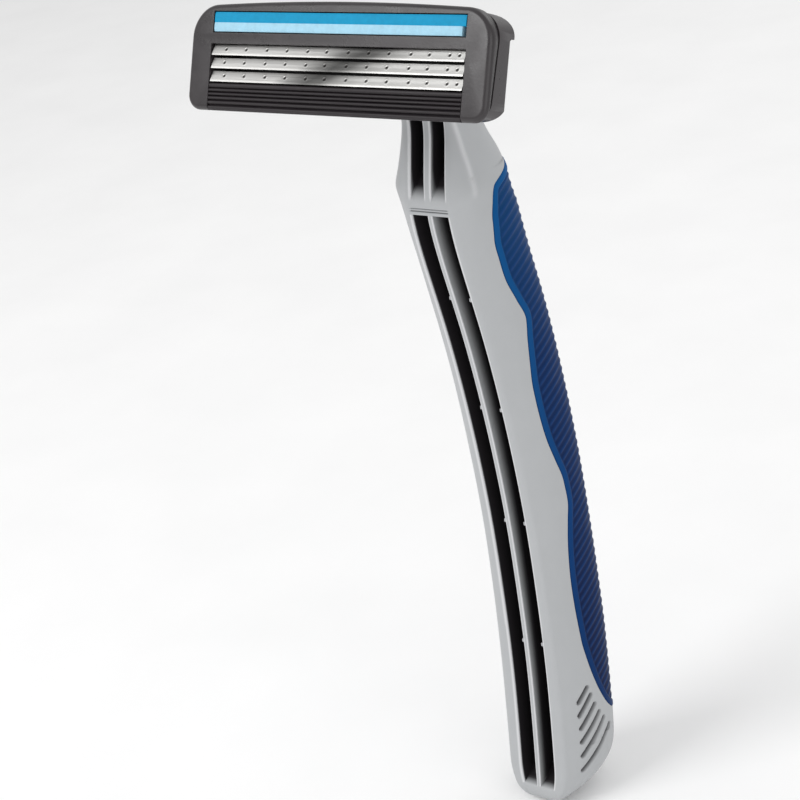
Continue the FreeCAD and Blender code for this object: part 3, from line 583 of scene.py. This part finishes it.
# pair of shallower slots in the neck
NECK_START = 86.4
NECK_INNER, NECK_OUTER, NECK_DEPTH = 0.54, 2.52, 3.6
NECK_LOW, NECK_HIGH = 87.6, 98.6
WALL_STEPS = (0.03, 0.06, 0.10, 0.15, 0.21, 0.28, 0.36, 0.46, 0.62, 0.8)  # parts of the depth
BAR_EDGE_R, OUTER_EDGE_R, FLOOR_R = 0.15, 0.22, 0.35
SIDE_POINTS, BACK_POINTS = 96, 14
SEAT_DEPTH = 1.15  # how far the shell is sunk under the grip
# slanted marks on the sides near the foot, (y, z) to (y, z)
MARKS = [((-0.41, 16.4), (-1.88, 14.75)), ((-0.12, 15.1), (-2.16, 12.8)),
         ((0.21, 13.5), (-2.29, 10.9)), ((0.73, 12.0), (-2.57, 8.9)),
         ((1.42, 10.7), (-2.85, 6.9)), ((2.45, 9.0), (-3.21, 4.8))]
MARK_DEPTH, MARK_REACH, MARK_SLOPE = 0.45, 0.41, 0.26
# fine step lines across the front above the channels, also darkened with painted shade: (depth,
# height, width)
STEP_LINES = ((0.12, 86.68, 0.06), (0.16, 86.36, 0.07))


def row_heights():
    """Heights of the shell's rows, closer together where the shape changes fast."""
    heights = np.unique(np.round(np.concatenate([
        np.arange(FOOT, 98.0, 0.45),
        FOOT + 6.8 * (1 - np.cos(np.linspace(0, math.pi / 2, 36))),
        np.arange(4.2, 17.2, 0.13),
        np.linspace(CHANNEL_LOW - 0.1, CHANNEL_LOW + 3.0, 26),
        np.linspace(CHANNEL_HIGH - 0.4, CHANNEL_HIGH + 0.05, 12),
        np.linspace(86.1, 87.0, 24),
        np.linspace(NECK_LOW, NECK_LOW + 4.6, 30),
        np.linspace(NECK_HIGH - 0.8, NECK_HIGH + 0.05, 10),
        np.linspace(97.5, 100.8, 16),
        np.linspace(90.4, 92.2, 10)]), 3))
    kept = [heights[0]]
    for height in heights[1:]:
        if height - kept[-1] > 0.025:
            kept.append(height)
    return np.array(kept)


HEIGHTS = row_heights()
OUTLINES, FRONT_Y, TILTS = outline_rows(HEIGHTS)
TILTS = TILTS + (FOOT_TILT - TILTS[0]) * (1 - smooth((HEIGHTS - FOOT) / 5.0))


def slot_profile(height):
    """Slot inner x, outer x and depth at each height."""
    to_neck = smooth((height - NECK_START) / 1.4)
    inner = CHANNEL_INNER + (NECK_INNER - CHANNEL_INNER) * to_neck
    outer = CHANNEL_OUTER + (NECK_OUTER - CHANNEL_OUTER) * to_neck
    # each slot ramps in from its lower end and stops in a small round at its upper end
    channel = (CHANNEL_DEPTH * np.clip((height - CHANNEL_LOW) / 2.7, 0, 1) ** 0.9
               * round_rise((CHANNEL_HIGH - height) / 0.3))
    neck = (NECK_DEPTH * np.clip((height - NECK_LOW) / 3.9, 0, 1) ** 1.25
            * round_rise((NECK_HIGH - height) / 0.6))
    return inner, outer, np.maximum(channel, neck)


def slot_section(height, inner, outer, depth):
    """Row points from the middle out over the slot, with painted shade on the walls and painted
    highlight on the edges.
    """
    bar_r = min(BAR_EDGE_R, 0.4 * inner)
    opened = min(1.0, depth / 0.3)
    in_neck = height > NECK_START
    # how fast the painted shade on the bar's wall and the outer wall grows with depth
    bar_rate = 1.0 if in_neck else 0.44 + 0.24 * (1 - smooth((height - 8.0) / 60.0))
    outer_rate = 1.4 if in_neck else 2.6
    points = [(0, 0), (inner * 0.45, 0)]
    for angle in np.radians(np.linspace(0, 90, 5)):
        points.append((inner - bar_r + bar_r * math.sin(angle),
                       (bar_r - bar_r * math.cos(angle)) * opened))
    points += [(inner, max(depth * t, bar_r * opened)) for t in WALL_STEPS]
    points += [(inner + FLOOR_R * 0.3 * opened, depth), (inner + FLOOR_R, depth),
               (0.5 * (inner + outer), depth),
               (outer - FLOOR_R, depth), (outer - FLOOR_R * 0.3 * opened, depth)]
    points += [(outer, max(depth * t, OUTER_EDGE_R * opened)) for t in WALL_STEPS[::-1]]
    for angle in np.radians(np.linspace(90, 0, 5)):
        points.append((outer + OUTER_EDGE_R - OUTER_EDGE_R * math.sin(angle),
                       (OUTER_EDGE_R - OUTER_EDGE_R * math.cos(angle)) * opened))
    # painted shade down each wall, growing with depth
    dark = ([0] * 7 + [depth * t * bar_rate for t in WALL_STEPS] + [depth] * 5
            + [depth * t * outer_rate for t in WALL_STEPS[::-1]] + [0] * 5)
    # painted highlight on the rounded slot edges
    lit = [0] * 2 + [opened] * 5 + [0] * 25 + [opened] * 5
    return np.array(points), np.array(dark), np.array(lit)


def back_section(outline, split, side_end):
    """Back of a row: sunk under the grip, or gathered on the middle where there is none."""
    if split is None:
        back = np.repeat(outline[-1:], BACK_POINTS, axis=0)
    else:
        last = len(outline) - 1.0
        where = np.linspace(split, last, BACK_POINTS - 2)
        points = sample(outline, where)
        nearby = np.linspace(split - 6, last, 40)
        near_normals = normals_2d(sample(outline, nearby))
        normals = np.stack([np.interp(where, nearby, near_normals[:, i]) for i in (0, 1)],
                           axis=-1)
        normals[-1] = (0, 1)
        depth = min(SEAT_DEPTH, 0.9 * abs(points[0, 0]))
        step = np.array([side_end - normals[0] * 0.06 * min(1, depth),
                         side_end - normals[0] * depth])
        back = np.vstack([step, points - normals * depth])
        back[-1, 0] = 0.0
        return back
    back[:, 0] = 0.0
    return back


def round_foot(row, outline, height):
    """Draw a row in near the foot so the end is rounded."""
    above = (height - FOOT) * math.cos(FOOT_TILT)
    front, back, side = (radius * (1 - round_rise(above / radius))
                         for radius in (FOOT_FRONT_R, FOOT_BACK_R, FOOT_SIDE_R))
    depth, half = outline[:, 1].max(), outline[:, 0].max()
    return np.stack([row[:, 0] * (1 - side / half),
                     front + row[:, 1] * (depth - front - back) / depth], axis=-1)


def mark_depth(y, z):
    """Depth of the slanted marks at points of the handle's side."""
    depth = np.zeros_like(y)
    for (y0, z0), (y1, z1) in MARKS:
        run_y, run_z = y1 - y0, z1 - z0
        t = np.clip(((y - y0) * run_y + (z - z0) * run_z) / (run_y ** 2 + run_z ** 2), 0, 1)
        away = np.hypot(y - y0 - t * run_y, z - z0 - t * run_z)
        depth = np.maximum(depth, MARK_DEPTH * smooth((MARK_REACH - away) / MARK_SLOPE))
    return depth


def shell_row(k, inner, outer, slot_depth, ridge, ridge_depth):
    """Right half of row k as xyz, with its painted shade and painted edge highlight."""
    height, outline = HEIGHTS[k], OUTLINES[k]
    front, dark, lit = slot_section(height, inner, outer, slot_depth)
    start = int(np.argmax(outline[:, 0] > outer + OUTER_EDGE_R + 0.12))
    split = grip_start(outline, FRONT_Y[k], height, TILTS[k])
    end = len(outline) - 1.0 if split is None else split
    where = np.linspace(start, end, SIDE_POINTS)
    side = sample(outline, where)
    side_normals = sample(normals_2d(outline), where)
    # crease where the front facet meets the side of the neck; it also carries a painted highlight
    # line
    away = np.hypot(side[:, 0] - ridge, side[:, 1] - ridge_depth)
    on_neck = smooth((height - 87.4) / 1.6) * smooth((99.0 - height) / 2.0)
    crease = np.exp(-(away / 0.30) ** 2) * on_neck
    side = side + side_normals * (0.13 * crease)[:, None]
    back = back_section(outline, split, side[-1])

    row = round_foot(np.vstack([front, side, back]), outline, height)
    xyz = to_xyz(row, FRONT_Y[k], height, TILTS[k])
    on_side = slice(len(front), len(front) + SIDE_POINTS)
    marks = mark_depth(xyz[on_side, 1], xyz[on_side, 2]) * (side[:, 1] > 2.0)
    xyz[on_side, 0] -= marks
    # step lines stop short of the front's outer edges
    across = smooth((3.0 - xyz[:, 0]) / 0.4) * (np.arange(len(xyz)) < len(front) + 12)
    line = sum(depth * math.exp(-((height - level) / width) ** 2)
               for depth, level, width in STEP_LINES)
    xyz[:, 1] += across * line

    # depth over which the painted shade darkens the walls: shorter in the neck, longer where its
    # slots start
    fade = 1.1 - 0.5 * smooth((height - 86.0) / 1.5)
    fade += 0.8 * smooth((height - 86.6) / 0.8) * (1 - smooth((height - 87.6) / 4.2))
    no_back = np.zeros(len(back))
    # painted shade on the slot walls by depth and inside the slanted marks
    deep = np.concatenate([smooth((dark - 0.05) / fade), 0.86 * marks / MARK_DEPTH, no_back])
    # painted shade along the step lines above the channels
    deep = np.maximum(deep, across * line * 4.5)
    return xyz, deep, np.concatenate([lit, 0.75 * crease, no_back])


def build_handle():
    ridges = pchip(STATIONS[:, 0], STATIONS[:, 3:5], HEIGHTS)
    slots = np.stack(slot_profile(HEIGHTS), axis=-1)
    rows = [shell_row(k, *slots[k], *ridges[k]) for k in range(len(HEIGHTS))]
    right, deep, edge = (np.array(part) for part in zip(*rows))
    # lowest row lies on the tilted foot plane
    right[0, :, 2] = right[0, :, 1] * math.tan(FOOT_TILT)
    ring = with_mirror(right, closed=True)
    cols = ring.shape[1]
    verts = np.vstack([ring.reshape(-1, 3), ring[0].mean(axis=0), ring[-1].mean(axis=0)])
    faces = list(grid_faces(len(HEIGHTS), cols, wrap=True))
    # fans close the foot and the top
    top_row, top_centre = (len(HEIGHTS) - 1) * cols, len(verts) - 1
    faces += [((i + 1) % cols, i, top_centre - 1) for i in range(cols)]
    faces += [(top_row + i, top_row + (i + 1) % cols, top_centre) for i in range(cols)]
    handle = make("handle_shell", verts, faces, "handle", HANDLE_PLASTIC,
                  "handle_core", sharp=38)
    # painted shade and painted highlight (slot edges and neck crease) kept as point attributes
    for name, values in (("deep", deep), ("edge", edge)):
        values = with_mirror(values, closed=True)
        point_attribute(handle, name, np.append(values.ravel(), [0, 0]))


def build_nibs():
    """Small nibs on the right-hand wall of each channel, near the mouth."""
    verts, faces = [], []
    for wall in (CHANNEL_OUTER, -CHANNEL_INNER):
        for height in (23.8, 41.7, 58.4, 74.4):
            front = float(np.interp(height, HEIGHTS, FRONT_Y))
            nib, nib_faces = box(wall - 0.34, wall + 0.12, front + 0.16, front + 0.95,
                                 height - 0.26, height + 0.26)
            faces += [tuple(len(verts) + i for i in face) for face in nib_faces]
            verts += nib
    nibs = make("channel_nibs", verts, faces, "handle", NIB_PLASTIC)
    bevel(nibs, width=0.1, segments=2)


build_handle()
build_nibs()

# ------------------------------------------------------------------ grip
GRIP_LOW, GRIP_HIGH, GRIP_STEP = 7.35, 92.4, 0.14
GRIP_POINTS = 84
# rib pitch up the handle, its fall per mm of y and of x, and its height
RIB_PITCH, RIB_SLOPE, RIB_SWEEP, RIB_HEIGHT = 1.24, 0.45, 0.90, 0.11
RIM_WIDTH, RIM_EDGE_R = 0.78, 0.30
RIM_PROUD, FIELD_SINK = 0.08, 0.20
GRIP_INWARD = 0.95


def grip_surface():
    """Right half of the handle surface under the grip: positions and normals."""
    heights = np.unique(np.round(np.arange(GRIP_LOW, GRIP_HIGH, GRIP_STEP), 4))
    positions, normals = [], []
    for height, outline, front_y, tilt in zip(heights, *outline_rows(heights)):
        split = grip_start(outline, front_y, height, tilt)
        if split is None:
            continue
        where = np.linspace(split, len(outline) - 1.0, GRIP_POINTS)
        points = sample(outline, where)
        points[-1, 0] = 0
        flat = sample(normals_2d(outline), where)
        flat[-1] = (0, 1)
        positions.append(to_xyz(points, front_y, height, tilt))
        normals.append(to_xyz(flat, 0.0, 0.0, tilt))
    return np.array(positions), np.array(normals)


def edge_distance(surface):
    """Distance of every point to the grip's edge, closed across the back at both ends."""
    edge = surface[:, 0]
    ends = [(end[0] * s, end[1], end[2]) for end in (edge[0], edge[-1])
            for s in np.linspace(-1, 1, 30)]
    curve = np.vstack([edge, edge * (-1, 1, 1), ends])
    flat = surface.reshape(-1, 3)
    distance = np.empty(len(flat))
    batch = 4000  # keeps the distance tables small
    for i in range(0, len(flat), batch):
        gaps = np.linalg.norm(flat[i:i + batch, None, :] - curve[None], axis=2)
        distance[i:i + batch] = gaps.min(axis=1)
    distance = distance.reshape(surface.shape[:2])
    distance[:, 0] = 0
    return distance


def build_grip():
    """Quarter-round edge proud of the shell, then a rim, then the ribbed field."""
    surface, normals = grip_surface()
    distance = edge_distance(surface)
    lift = np.where(distance < RIM_EDGE_R,
                    -0.28 + 0.36 * round_rise(distance / RIM_EDGE_R), RIM_PROUD)
    field = smooth((distance - RIM_WIDTH) / 0.22)
    x, y, z = np.moveaxis(surface, -1, 0)
    phase = (z - RIB_SLOPE * y - RIB_SWEEP * np.sqrt(x ** 2 + 0.8)) / RIB_PITCH
    wave = (0.5 + 0.5 * np.cos(2 * math.pi * phase)) ** 2.2
    crest = wave * smooth((distance - RIM_WIDTH - 0.12) / 0.3)
    lift = lift - FIELD_SINK * field + RIB_HEIGHT * crest
    outer = with_mirror(surface + normals * lift[..., None])
    thick = np.minimum(GRIP_INWARD, np.abs(surface[:, :1, 0]) * 0.6)[..., None]
    inner = with_mirror(surface) - with_mirror(normals) * thick
    rows, cols = outer.shape[:2]
    verts = np.vstack([outer.reshape(-1, 3), inner.reshape(-1, 3)])
    grip = make("soft_grip", verts, shell_faces(rows, cols), "handle", GRIP_RUBBER,
                "rubber_grip", sharp=60)
    # the crest values carry the painted highlight on the ribs
    for name, values, inside in (("rim", 1 - field, 1.0), ("crest", crest, 0.0)):
        values = with_mirror(values).ravel()
        point_attribute(grip, name, np.append(values, np.full(rows * cols, inside)))


build_grip()

# ------------------------------------------------------------------ head solids
HEAD_HALF = 21.5
WINDOW_HALF = 18.25


def part_z(y):
    """Sloping plane between the frame and the housing."""
    t = (y + 7.0) / 14.0
    return -(0.70 + (1.62 - 0.70) * t)


def face_outward(mesh):
    solid = bmesh.new()
    solid.from_mesh(mesh)
    bmesh.ops.recalc_face_normals(solid, faces=solid.faces)
    solid.to_mesh(mesh)
    solid.free()


def solid_object(name, verts, faces):
    mesh = bpy.data.meshes.new(name)
    mesh.from_pydata(verts, [], faces)
    face_outward(mesh)
    return link_object(name, mesh)


def sweep(name, profile, x_low, x_high):
    """Solid from a closed (y, z) profile swept along x."""
    solid = bmesh.new()
    ring = [(solid.verts.new((x_low, y, z)), solid.verts.new((x_high, y, z)))
            for y, z in profile]
    solid.faces.new([low for low, _ in ring][::-1])
    solid.faces.new([high for _, high in ring])
    for (low, high), (next_low, next_high) in zip(ring, ring[1:] + ring[:1]):
        solid.faces.new((low, next_low, next_high, high))
    bmesh.ops.recalc_face_normals(solid, faces=solid.faces)
    mesh = bpy.data.meshes.new(name)
    solid.to_mesh(mesh)
    solid.free()
    return link_object(name, mesh)


def cut(obj, verts, faces):
    """Subtract a temporary solid."""
    cutter = solid_object("cut", verts, faces)
    modifier = obj.modifiers.new("cut", "BOOLEAN")
    modifier.object = cutter
    modifier.operation = "DIFFERENCE"
    modifier.solver = "EXACT"
    bpy.context.view_layer.update()
    depsgraph = bpy.context.evaluated_depsgraph_get()
    result = bpy.data.meshes.new_from_object(obj.evaluated_get(depsgraph))
    obj.modifiers.remove(modifier)
    old, obj.data = obj.data, result
    cutter_mesh = cutter.data
    bpy.data.meshes.remove(old)
    bpy.data.objects.remove(cutter)
    bpy.data.meshes.remove(cutter_mesh)


def finish_head_part(obj, material, replaced=None, cuts=(), edge=0.0, angle=30.0):
    """Cut, place on the handle, round the edges and register."""
    for verts, faces in cuts:
        cut(obj, verts, faces)
    obj.data.transform(Matrix.Scale(MM, 4))
    obj.data.transform(HEAD)
    obj.data.materials.append(material)
    shade_smooth(obj.data)
    if edge:
        bevel(obj, edge, segments=3, angle=angle)
    register(obj, "head", replaced)


# ------------------------------------------------------------------ head frame
FRAME_LOW, FRAME_HIGH = -5.9, 6.1
FRAME_CROWN = 6.74  # top of the bowed upper edge
FRAME_TOP_R, FRAME_BOTTOM_R = 3.6, 1.75
FRAME_RIM_R = 0.62


def frame_outline():
    top_x, top_y = HEAD_HALF - FRAME_TOP_R, FRAME_HIGH - FRAME_TOP_R
    low_x, low_y = HEAD_HALF - FRAME_BOTTOM_R, FRAME_LOW + FRAME_BOTTOM_R
    top_r, low_r = (FRAME_TOP_R,) * 2, (FRAME_BOTTOM_R,) * 2
    points = arc((-low_x, low_y), low_r, 180, 270, 9) + arc((low_x, low_y), low_r, 270, 360, 9)
    top = arc((top_x, top_y), top_r, 0, 90, 16)
    top += [(x, FRAME_HIGH) for x in np.linspace(top_x, -top_x, 43)[1:-1]]
    top += arc((-top_x, top_y), top_r, 90, 180, 16)
    for x, y in top:
        share = smooth((y - FRAME_HIGH + FRAME_TOP_R) / FRAME_TOP_R)
        bow = (FRAME_CROWN - FRAME_HIGH) * (1 - (x / HEAD_HALF) ** 2)
        points.append((x, y + bow * share))
    return points


def inset_loop(points, distance):
    """Closed outline moved inward along its normals."""
    points = np.asarray(points, float)
    run = np.roll(points, -1, axis=0) - np.roll(points, 1, axis=0)
    run /= np.linalg.norm(run, axis=1, keepdims=True)
    return points + np.stack([-run[:, 1], run[:, 0]], axis=-1) * distance


def build_frame():
    """Slab with a rounded front rim, its back on the sloping parting plane."""
    outline = frame_outline()
    loops = [[(x, y, part_z(y)) for x, y in inset_loop(outline, 0.10)],
             [(x, y, part_z(y) + 0.10) for x, y in outline]]
    for angle in np.radians(np.linspace(0, 90, 7)):
        inset = FRAME_RIM_R * (1 - math.cos(angle))
        z = -FRAME_RIM_R + FRAME_RIM_R * math.sin(angle)
        loop = []
        for (x, y), (_, edge_y) in zip(inset_loop(outline, inset), outline):
            # where the slab is thin the rounding starts at its back
            squeeze = min(1.0, -(part_z(edge_y) + 0.16) / FRAME_RIM_R)
            loop.append((x, y, max(z * squeeze if z < 0 else 0.0, part_z(edge_y) + 0.14)))
        loops.append(loop)
    count = len(outline)
    faces = [tuple(range(count))[::-1],
             tuple(range((len(loops) - 1) * count, len(loops) * count))]
    for k in range(len(loops) - 1):
        for i in range(count):
            j = (i + 1) % count
            faces.append((k * count + i, k * count + j,
                          (k + 1) * count + j, (k + 1) * count + i))
    frame = solid_object("head_frame", [point for loop in loops for point in loop], faces)
    strip_recess = box(-18.12, 18.12, 3.05, 5.52, -1.0, 2)
    window = box(-WINDOW_HALF, WINDOW_HALF, -9, 1.78, -4, 2)
    finish_head_part(frame, HEAD_PLASTIC, "cartridge_frame",
                     cuts=[strip_recess, window], edge=0.14, angle=60)


# ------------------------------------------------------------------ rear housing and lugs
HOUSING_LOW, HOUSING_HIGH = -5.7, 5.95
HOUSING_GAP = 0.16  # below the parting plane
HOUSING_BACK, HOUSING_STEP_BACK = -3.75, -4.5  # z below and above the step
STEP_Y, STEP_Z_MID = 3.3, -4.3


def corner_waste(side, toward, edge, radius, far_x, far, count):
    """Loop outside a rounded corner at the head's end; toward is +1 or -1 along the edge axis."""
    centre_x, centre = side * (HEAD_HALF - radius), edge - toward * radius
    return (arc((centre_x, centre), (side * radius, toward * radius), 0, 90, count)
            + [(centre_x, far), (side * far_x, far), (side * far_x, centre)])


def build_housing():
    """Side profile swept across, its corners rounded seen from the face and from above."""
    profile = [(HOUSING_LOW, part_z(HOUSING_LOW) - HOUSING_GAP), (HOUSING_LOW, -1.7)]
    profile += arc((-3.5, -1.7), (2.2, 2.05), 192, 270, 7)
    profile += [(2.5, HOUSING_BACK), (3.0, -3.95), (STEP_Y, STEP_Z_MID),
                (3.7, HOUSING_STEP_BACK), (4.8, HOUSING_STEP_BACK), (5.3, -4.38), (5.68, -4.1),
                (5.88, -3.7), (HOUSING_HIGH, -3.2),
                (HOUSING_HIGH, part_z(HOUSING_HIGH) - HOUSING_GAP)]
    face_cuts, end_cuts = [], []
    for side in (1, -1):
        for edge, toward, radius in ((HOUSING_HIGH, 1, 3.2), (HOUSING_LOW, -1, 2.1)):
            loop = corner_waste(side, toward, edge, radius, 23.5, edge + toward * 2, 12)
            face_cuts.append(extrude(loop, axis=2, low=-9, high=3))
        for low, high, back in ((-9.0, STEP_Y, HOUSING_BACK), (STEP_Y, 9.0, HOUSING_STEP_BACK)):
            loop = corner_waste(side, -1, back, 0.5, 24.0, -9.0, 10)
            end_cuts.append(extrude(loop, axis=1, low=low, high=high))
    blade_well = box(-19.4, 19.4, -2.75, 1.9, -3.4, 2)
    guard_recess = box(-WINDOW_HALF, WINDOW_HALF, -9, -2.65, -1.0, 2)
    housing = sweep("head_housing", profile, -HEAD_HALF, HEAD_HALF)
    finish_head_part(housing, HOUSING_PLASTIC, "cartridge_base",
                     cuts=face_cuts + end_cuts + [blade_well, guard_recess],
                     edge=0.16, angle=50.0)


LUG_Y, LUG_Z, LUG_R, LUG_HOLE_R = -1.0, -6.0, 1.5, 0.9
LUG_ROOT_Z = -3.9


def build_lug(name, side):
    """Round-ended lug behind the housing, with a blind hole from its inner face."""
    centre = (LUG_Y, LUG_Z)
    profile = ([(LUG_Y - LUG_R, LUG_ROOT_Z)] + arc(centre, (LUG_R, LUG_R), 180, 360, 25)
               + [(LUG_Y + LUG_R, LUG_ROOT_Z)])
    hole = extrude(arc(centre, (LUG_HOLE_R, LUG_HOLE_R), 0, 350, 36), 0,
                   *sorted((side * 7.0, side * 9.45)))
    lug = sweep(name, profile, *sorted((side * 7.95, side * 9.75)))
    finish_head_part(lug, HOUSING_PLASTIC, cuts=[hole], edge=0.15)


# ------------------------------------------------------------------ strips, guard, blades
STRIP_LEFT, STRIP_SPLIT_Y, STRIP_BASE_Z = -18.0, 4.2, -1.0
# z across the upper strip, from the seam up; the lower strip mirrors it
STRIP_CROWN = (0.0, 0.03, 0.036, 0.033, 0.036, 0.033, 0.018, -0.018, -0.072)


def build_strip(name, low, high, right, crown, material, replaced):
    """Bar with a low crown and ends that dip slightly."""
    rows, cols = 120, len(crown)
    verts = []
    for x in np.linspace(STRIP_LEFT, right, rows):
        from_end = min(x - STRIP_LEFT, right - x)
        dip = -0.10 * (1 - min(1, from_end / 0.15)) ** 2
        verts += [(x, y, z + dip) for y, z in zip(np.linspace(low, high, cols), crown)]
    base = len(verts)
    verts += [(x, y, STRIP_BASE_Z) for x in (STRIP_LEFT, right) for y in (low, high)]
    faces = list(grid_faces(rows, cols))
    faces += [(*range(cols), base + 1, base),
              (*range(base - 1, base - cols - 1, -1), base + 2, base + 3),
              (*range(base - cols, -1, -cols), base, base + 2),
              (*range(cols - 1, base, cols), base + 3, base + 1),
              (base, base + 1, base + 3, base + 2)]
    strip = make(name, verts, faces, "head", material, replaced, sharp=50, matrix=HEAD)
    face_outward(strip.data)


# guard ridges, downward: (upper y, lower y, crest z)
RIDGES = [(-2.74, -3.28, -0.05), (-3.36, -3.72, -0.03), (-3.84, -4.16, -0.01),
          (-4.28, -4.64, 0.0), (-4.78, -5.18, -0.03), (-5.34, -5.80, -0.10)]
RIDGE_RISE = 0.22
GUARD_HALF, GUARD_BASE_Z = 18.2, -1.0


def build_guard():
    """Rounded ridges swept across, with a groove below each but the last."""
    profile = [(-2.72, GUARD_BASE_Z), (-2.72, -0.12)]
    for upper, lower, crest in RIDGES:
        profile += arc(((upper + lower) / 2, crest - RIDGE_RISE),
                       ((upper - lower) / 2, RIDGE_RISE), 10, 170, 9)
        if (upper, lower, crest) != RIDGES[-1]:
            profile.append((lower - 0.02, crest - 0.36))
    profile += [(-5.88, -0.3), (-5.88, GUARD_BASE_Z)]
    guard = sweep("guard_bar", profile, -GUARD_HALF, GUARD_HALF)
    finish_head_part(guard, GUARD_RUBBER, "guard_strip")
    guard.data.set_sharp_from_angle(angle=math.radians(45))


BLADE_HALF, BLADE_WIDTH, BLADE_THICK = 18.1, 1.30, 0.1
BLADE_SLOPE = math.radians(21.5)
BLADE_EDGE_Z = -0.05
TOP_BLADE_Y, BLADE_PITCH = 0.48, 1.52
WELD_SHIFTS = (0.0, -0.15, -0.05)
WELDS = [-16.1, -13.04, -9.86, -6.85, -3.79, -1.02, 2.06, 4.94, 7.76, 10.79, 13.29, 16.0, 17.3]
WELD_IN = 0.74  # from the cutting edge


def build_blade(number, edge_y, shift):
    """Thin bevelled strip with a row of spot welds pressed into its face."""
    welds = [weld + shift for weld in WELDS]
    along = [np.linspace(weld - 0.40, weld + 0.40, 21) for weld in welds]
    along = np.concatenate(along + [np.linspace(-BLADE_HALF, BLADE_HALF, 90)])
    along = np.unique(np.round(np.clip(along, -BLADE_HALF, BLADE_HALF) / 0.02) * 0.02)
    inward = np.concatenate([[0.0, 0.1, 0.22], np.linspace(0.26, 1.22, 25), [BLADE_WIDTH]])
    inward, x = np.meshgrid(np.unique(np.round(inward, 4)), along)
    top = np.where(inward < 0.20, 0.032 * (1 - inward / 0.20), 0.0)
    pit = np.zeros_like(inward)
    for weld in welds:
        # a dimple with a faint raised ring
        away = np.hypot(x - weld, inward - WELD_IN)
        top = top + 0.045 * np.exp(-(away / 0.14) ** 2)
        top = top - 0.010 * np.exp(-((away - 0.27) / 0.06) ** 2)
        pit = np.maximum(pit, np.exp(-(away / 0.20) ** 4))
    bottom = np.where(inward < 0.22, 0.05 + 0.05 * inward / 0.22, BLADE_THICK)
    run, rise = math.cos(BLADE_SLOPE), math.sin(BLADE_SLOPE)
    verts = np.vstack([np.stack([x, edge_y + inward * run - depth * rise,
                                 BLADE_EDGE_Z - inward * rise - depth * run],
                                axis=-1).reshape(-1, 3) for depth in (top, bottom)])
    blade = make("blade_strip_%d" % number, verts, shell_faces(*x.shape),
                 "blade_unit_%d" % number, BLADE_STEEL, "blade_%d" % number,
                 sharp=50, matrix=HEAD)
    point_attribute(blade, "weld", np.append(pit.ravel(), np.zeros(pit.size)))


build_frame()
build_housing()
build_lug("pivot_lug_r", 1)
build_lug("pivot_lug_l", -1)
build_strip("strip_deep", STRIP_SPLIT_Y, 5.4, 18.0, STRIP_CROWN,
            STRIP_DEEP, "lube_strip_upper")
build_strip("strip_pale", 3.17, STRIP_SPLIT_Y, 17.55, STRIP_CROWN[::-1],
            STRIP_PALE, "lube_strip_lower")
build_guard()
for i, weld_shift in enumerate(WELD_SHIFTS):
    build_blade(i + 1, TOP_BLADE_Y - BLADE_PITCH * i, weld_shift)

# CAD pieces kept as they are: new material and softened edges (name, material, width)
kept_parts = [("pivot_yoke", YOKE_PLASTIC, 0.25), ("return_spring", YOKE_PLASTIC, 0.08)]
kept_parts += [("blade_support_%d" % i, SHADED_SUPPORT_STEEL, 0.04) for i in (1, 2, 3)]
kept_parts += [("blade_spring_%d_%s" % (i, side), SHADED_SPRING_STEEL, 0.03)
               for i in (1, 2, 3) for side in ("left", "right")]
for part_name, part_material, edge_width in kept_parts:
    part = nodes[part_name]
    part.data.materials.clear()
    part.data.materials.append(part_material)
    bevel(part, edge_width, segments=2, angle=40)


# ------------------------------------------------------------------ floor, light, camera
def build_floor():
    """White paper just under the lowest point of the CAD."""
    floor_z = min(c[2] for c in cad_box) - 0.0002
    bpy.ops.mesh.primitive_plane_add(size=12, location=(0, 0, floor_z))
    floor = bpy.context.object
    floor.name = "studio_floor"
    shader = Shader("floor_paper")
    fibres = shader.noise(shader.coords(), scale=40.0, detail=4.0)
    shader.set(Base_Color=shader.spread(fibres, 0.95, 0.98), Roughness=0.9)
    floor.data.materials.append(shader.material)


def build_world():
    world = bpy.data.worlds.new("studio")
    scene.world = world
    world.use_nodes = True
    background = world.node_tree.nodes["Background"]
    background.inputs["Color"].default_value = (1.0, 1.0, 1.0, 1.0)
    background.inputs["Strength"].default_value = 0.66


def area_light(name, location, target, size, power):
    light = bpy.data.lights.new(name, "AREA")
    light.energy = power
    light.size = size
    light.color = (1, 1, 1)
    lamp = link_object(name, light)
    lamp.location = location
    aim = Vector(target) - Vector(location)
    lamp.rotation_euler = aim.to_track_quat("-Z", "Y").to_euler()


def build_camera():
    camera = bpy.data.cameras.new("photo_camera")
    camera.sensor_width = 36.0
    camera.lens = 94.948
    camera.clip_start = 0.01
    camera_object = link_object("photo_camera", camera)
    turn = Matrix(((0.78963204, -0.11958227, 0.60181502),
                   (0.58763725, 0.42957814, -0.68567127),
                   (-0.17653246, 0.89507692, 0.40947966)))
    place = Vector((0.15129371, -0.19100675, 0.16993425))
    camera_object.matrix_world = Matrix.Translation(place) @ turn.to_4x4()
    scene.camera = camera_object


build_floor()
build_world()
area_light("key", (-0.25, -0.45, 0.50), target=(0, 0, 0.07), size=0.35, power=1.9)
area_light("fill", (0.55, -0.25, 0.30), target=(0, 0, 0.06), size=0.5, power=0.8)
area_light("rim", (0.1, 0.5, 0.45), target=(0, 0, 0.07), size=0.4, power=0.6)
build_camera()
scene.view_settings.view_transform = "Standard"
scene.view_settings.look = "None"
